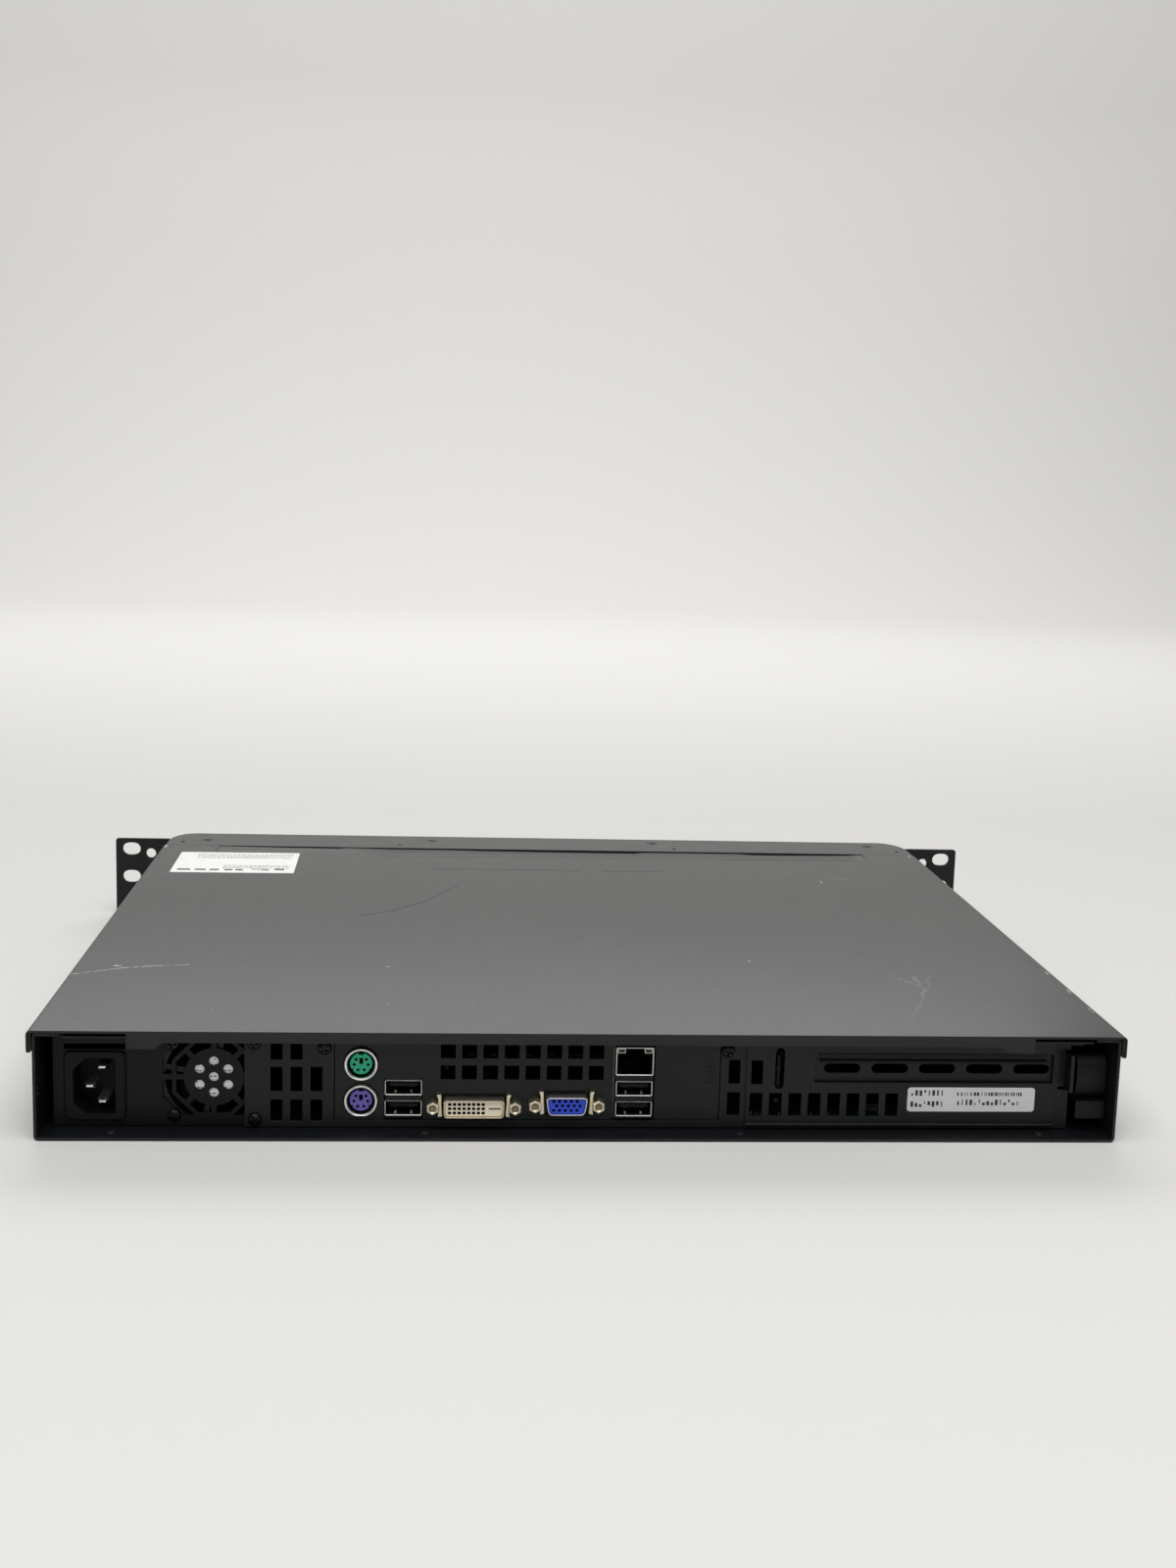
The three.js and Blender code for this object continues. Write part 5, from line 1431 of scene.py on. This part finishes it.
def memory_modules():
    """Two memory modules with chips, contacts and a sticker each."""
    chips, contacts, stickers = Shape(), Shape(), Shape()
    for number, y in ((1, -14), (2, -24)):
        node = f"memory_module_{number}"
        room = Room(node)
        outline = panel((room.mid.x, room.mid.z), room.size.x, room.size.z, 0.6)
        sheet, notches = Shape().prism("y", outline, (y - 0.6, y + 0.6)), Shape()
        for x in (room.low.x, room.high.x):
            notches.rod("y", (x, 26), 1.6, (y - 1, y + 1), 16)
        sheet.cut(notches).piece(f"memory_board_{number}", "board", bevel=0.1, stands_for=[node])
        for x in spread(8, room.mid.x - 1.4, 15.6):
            for side in (-1, 1):
                chips.box((x - 5, x + 5), sorted((y + side * 0.6, y + side * 1.7)), (18.5, 30.5))
        for x in spread(60, room.mid.x, 2.05):
            contacts.box((x - 0.5, x + 0.5), (y - 0.66, y + 0.66), (9.2, 12.4))
        stickers.box((room.mid.x - 22, room.mid.x + 14), (y + 1.7, y + 1.78), (20, 29))
    chips.piece("memory_chips", "plastic", bevel=0.15)
    contacts.piece("memory_contacts", "gold")
    stickers.piece("memory_stickers", "label")


# ---------------------------------------------------------------- drive, front boards and leads


def storage():
    """The drive in its bracket, with a stepped lid, label, screws and its circuit board."""
    room = Room("hard_drive")
    x, y, z = room.mid.x, room.mid.y, room.high.z
    x0, x1, y0, y1 = room.low.x, room.high.x, room.low.y, room.high.y
    body = Shape().prism("z", panel((x, y), room.size.x, room.size.y, 2.5, 4), (7, z - 1.2))
    sides = Shape().box((x0 - 1, x1 + 1), (y0 - 1, y0 + 0.8), (14, 20))
    sides.box((x0 - 1, x1 + 1), (y1 - 0.8, y1 + 1), (14, 20))
    body.cut(sides).piece("drive_casting", "cast", bevel=0.5, stands_for=["hard_drive"])
    lid = panel((x - 3, y), room.size.x - 14, room.size.y - 7, 7, 6)
    crown = panel((x - 3, y), room.size.x - 15, room.size.y - 8, 6.5, 6)
    cap, rings = Shape().loft("z", [(lid, z - 1.3), (lid, z - 0.4), (crown, z)]), Shape()
    for cx, r in ((x - 30, 12), (x + 48, 8)):
        groove = [(r, z - 0.5), (r, z + 1), (r - 1, z + 1), (r - 1, z - 0.5)]
        rings.turned("z", (cx, y), groove, 40, loop=True)
    cap.cut(rings).piece("drive_lid", "steel", "cast_aluminium", bevel=0.3)
    spots = ((-62, -43), (62, -43), (-62, 43), (58, 43), (0, -44), (0, 44))
    places = [(x - 3 + dx * 0.97, y + dy * 0.94, z - 0.9) for dx, dy in spots]
    screws("drive_screw", places, "+z", 30, radius=2.2, height=0.8, look="nickel")
    Shape().box((x0 + 4, x1 - 2), (y0 + 4, y1 - 4), (5.6, 7)).piece("drive_board", "board", bevel=0.1)
    marks = text_rows(-30, 24, (16, 11, 6), 2, 23) + text_rows(-30, 30, (0, -4, -8), 1.4, 29)
    marks += bar_code(-30, 20, -16, 6, 1.2, 31)
    stand = Matrix.Translation(Vector((x + 12, y, z - 0.05)))
    label("drive_label", (70, 44), 2.0, marks, stand, "chassis")
    remake("drive_bracket", "steel", 0.25)


def front_boards():
    """The front panel, the port board with its jacks and the light board with its lights."""
    remake("front_panel", "black", 0.25)
    remake("port_board", "board", 0.2)
    remake("led_board", "board", 0.2)
    shells = Shape()
    for i, room in enumerate(PORTS):
        low, high = room.low, room.high
        node, face = f"front_lan_jack_{i + 1}", low.y
        body = Shape().box((low.x, high.x), (face + 0.4, high.y), (low.z, high.z))
        body.cut(Shape().box((low.x + 0.6, high.x - 0.6), (face - 1, face + 15), (low.z + 0.6, high.z - 0.6)))
        body.piece(node + "_case", "nickel", bevel=0.25, stands_for=[node])
        tube(shells, (room.mid.x, room.mid.z), (room.size.x, room.size.z), 0.5, 0.6, (face + 14, face))
        network_jack(node, shells, room.mid.x, face, -1, room.size.x - 0.4, (low.z + 0.2, high.z - 0.2))
    shells.piece("front_port_rims", "nickel")
    for i in range(1, 6):
        node = f"light_pipe_{i}"
        room = Room(node)
        back, face = room.high.y, room.low.y
        dome = [(1.5, back), (1.5, face + 0.5), (1.3, face + 0.15), (0.8, face)]
        light = Shape().turned("y", (room.mid.x, FRONT_Z), dome, 24)
        light.piece(f"status_light_{i}", "lens", stands_for=[node])


def buttons():
    """The power button's dished cap with its collar and stem, and the reset button."""
    x, face = POWER.mid.x, POWER.low.y

    def outline(width, height, corner):
        return panel((x, FRONT_Z), width, height, corner, 6)

    side, front = outline(8, 5, 1.1), outline(7.2, 4.2, 0.9)
    cap = Shape().loft("y", [(side, face + 4.4), (side, face + 0.5), (front, face)])
    cap.join(Shape().prism("y", outline(10.4, 7.4, 1.2), (face + 4.2, face + 5.4)))
    cap.join(Shape().rod("y", (x, FRONT_Z), 1.8, (face + 5.2, POWER.high.y), 20))
    dish = [(2.6, face - 0.2), (1.8, face + 0.12), (0.9, face + 0.2), (0.1, face + 0.22)]
    cap.cut(Shape().turned("y", (x, FRONT_Z), dish, 24))
    cap.piece("power_cap", "plastic", body="power_button", bevel=0.12, stands_for=["power_button"])
    remake("reset_button", "plastic", 0.2, name="reset_cap", body="reset_button")


def leads():
    """The bundled leads: rounded, each in its own sleeve."""
    black = ("atx_power_cable", "drive_power_cable", "front_panel_lead", "port_board_lead")
    for node in (*black, "drive_data_cable"):
        look = "sleeve" if node in black else "red_sleeve"
        made = remake(node, look, 0.0, name=node + "_sleeve", sharp=70)
        rounder = made.modifiers.new("rounder", "SUBSURF")
        rounder.levels = rounder.render_levels = 1


# ---------------------------------------------------------------- build

photograph_camera()
studio()
top_cover()
front_bezel()
base_tray()
rear_sheet_metal()
slot_clip()
rear_fasteners()
rack_ear("rack_ear_left")
rack_ear("rack_ear_right")
ps2_sockets()
usb_and_lan()
video_socket("dvi", "cream", (23.8, 7.3), 0.2, 1.5, "warm_nickel", dvi_pins)
video_socket("vga", "blue", (16.6, 7.5), 1.1, 1.9, "bright_nickel", vga_pins)
power_supply()
supply_fan, chassis_fan, cooler = Room("psu_fan_frame"), Room("chassis_fan_frame"), Room("cpu_fan_frame")
fan("psu_fan", 39, 20, 9.6, 32, standing((supply_fan.mid.x, supply_fan.high.y, supply_fan.mid.z), 90))
fan("chassis_fan", 39, 20, 9.6, 32, standing((chassis_fan.mid.x, chassis_fan.low.y, chassis_fan.mid.z), -90))
fan("cpu_fan", 60, 10, 12.5, 50, standing((cooler.mid.x, cooler.mid.y, cooler.high.z), 180))
labels()
board_chance = random.Random(4)
main_board()
board_sockets()
board_chips(board_chance)
board_cans()
board_pins(board_chance)
heatsinks()
memory_modules()
storage()
front_boards()
buttons()
leads()
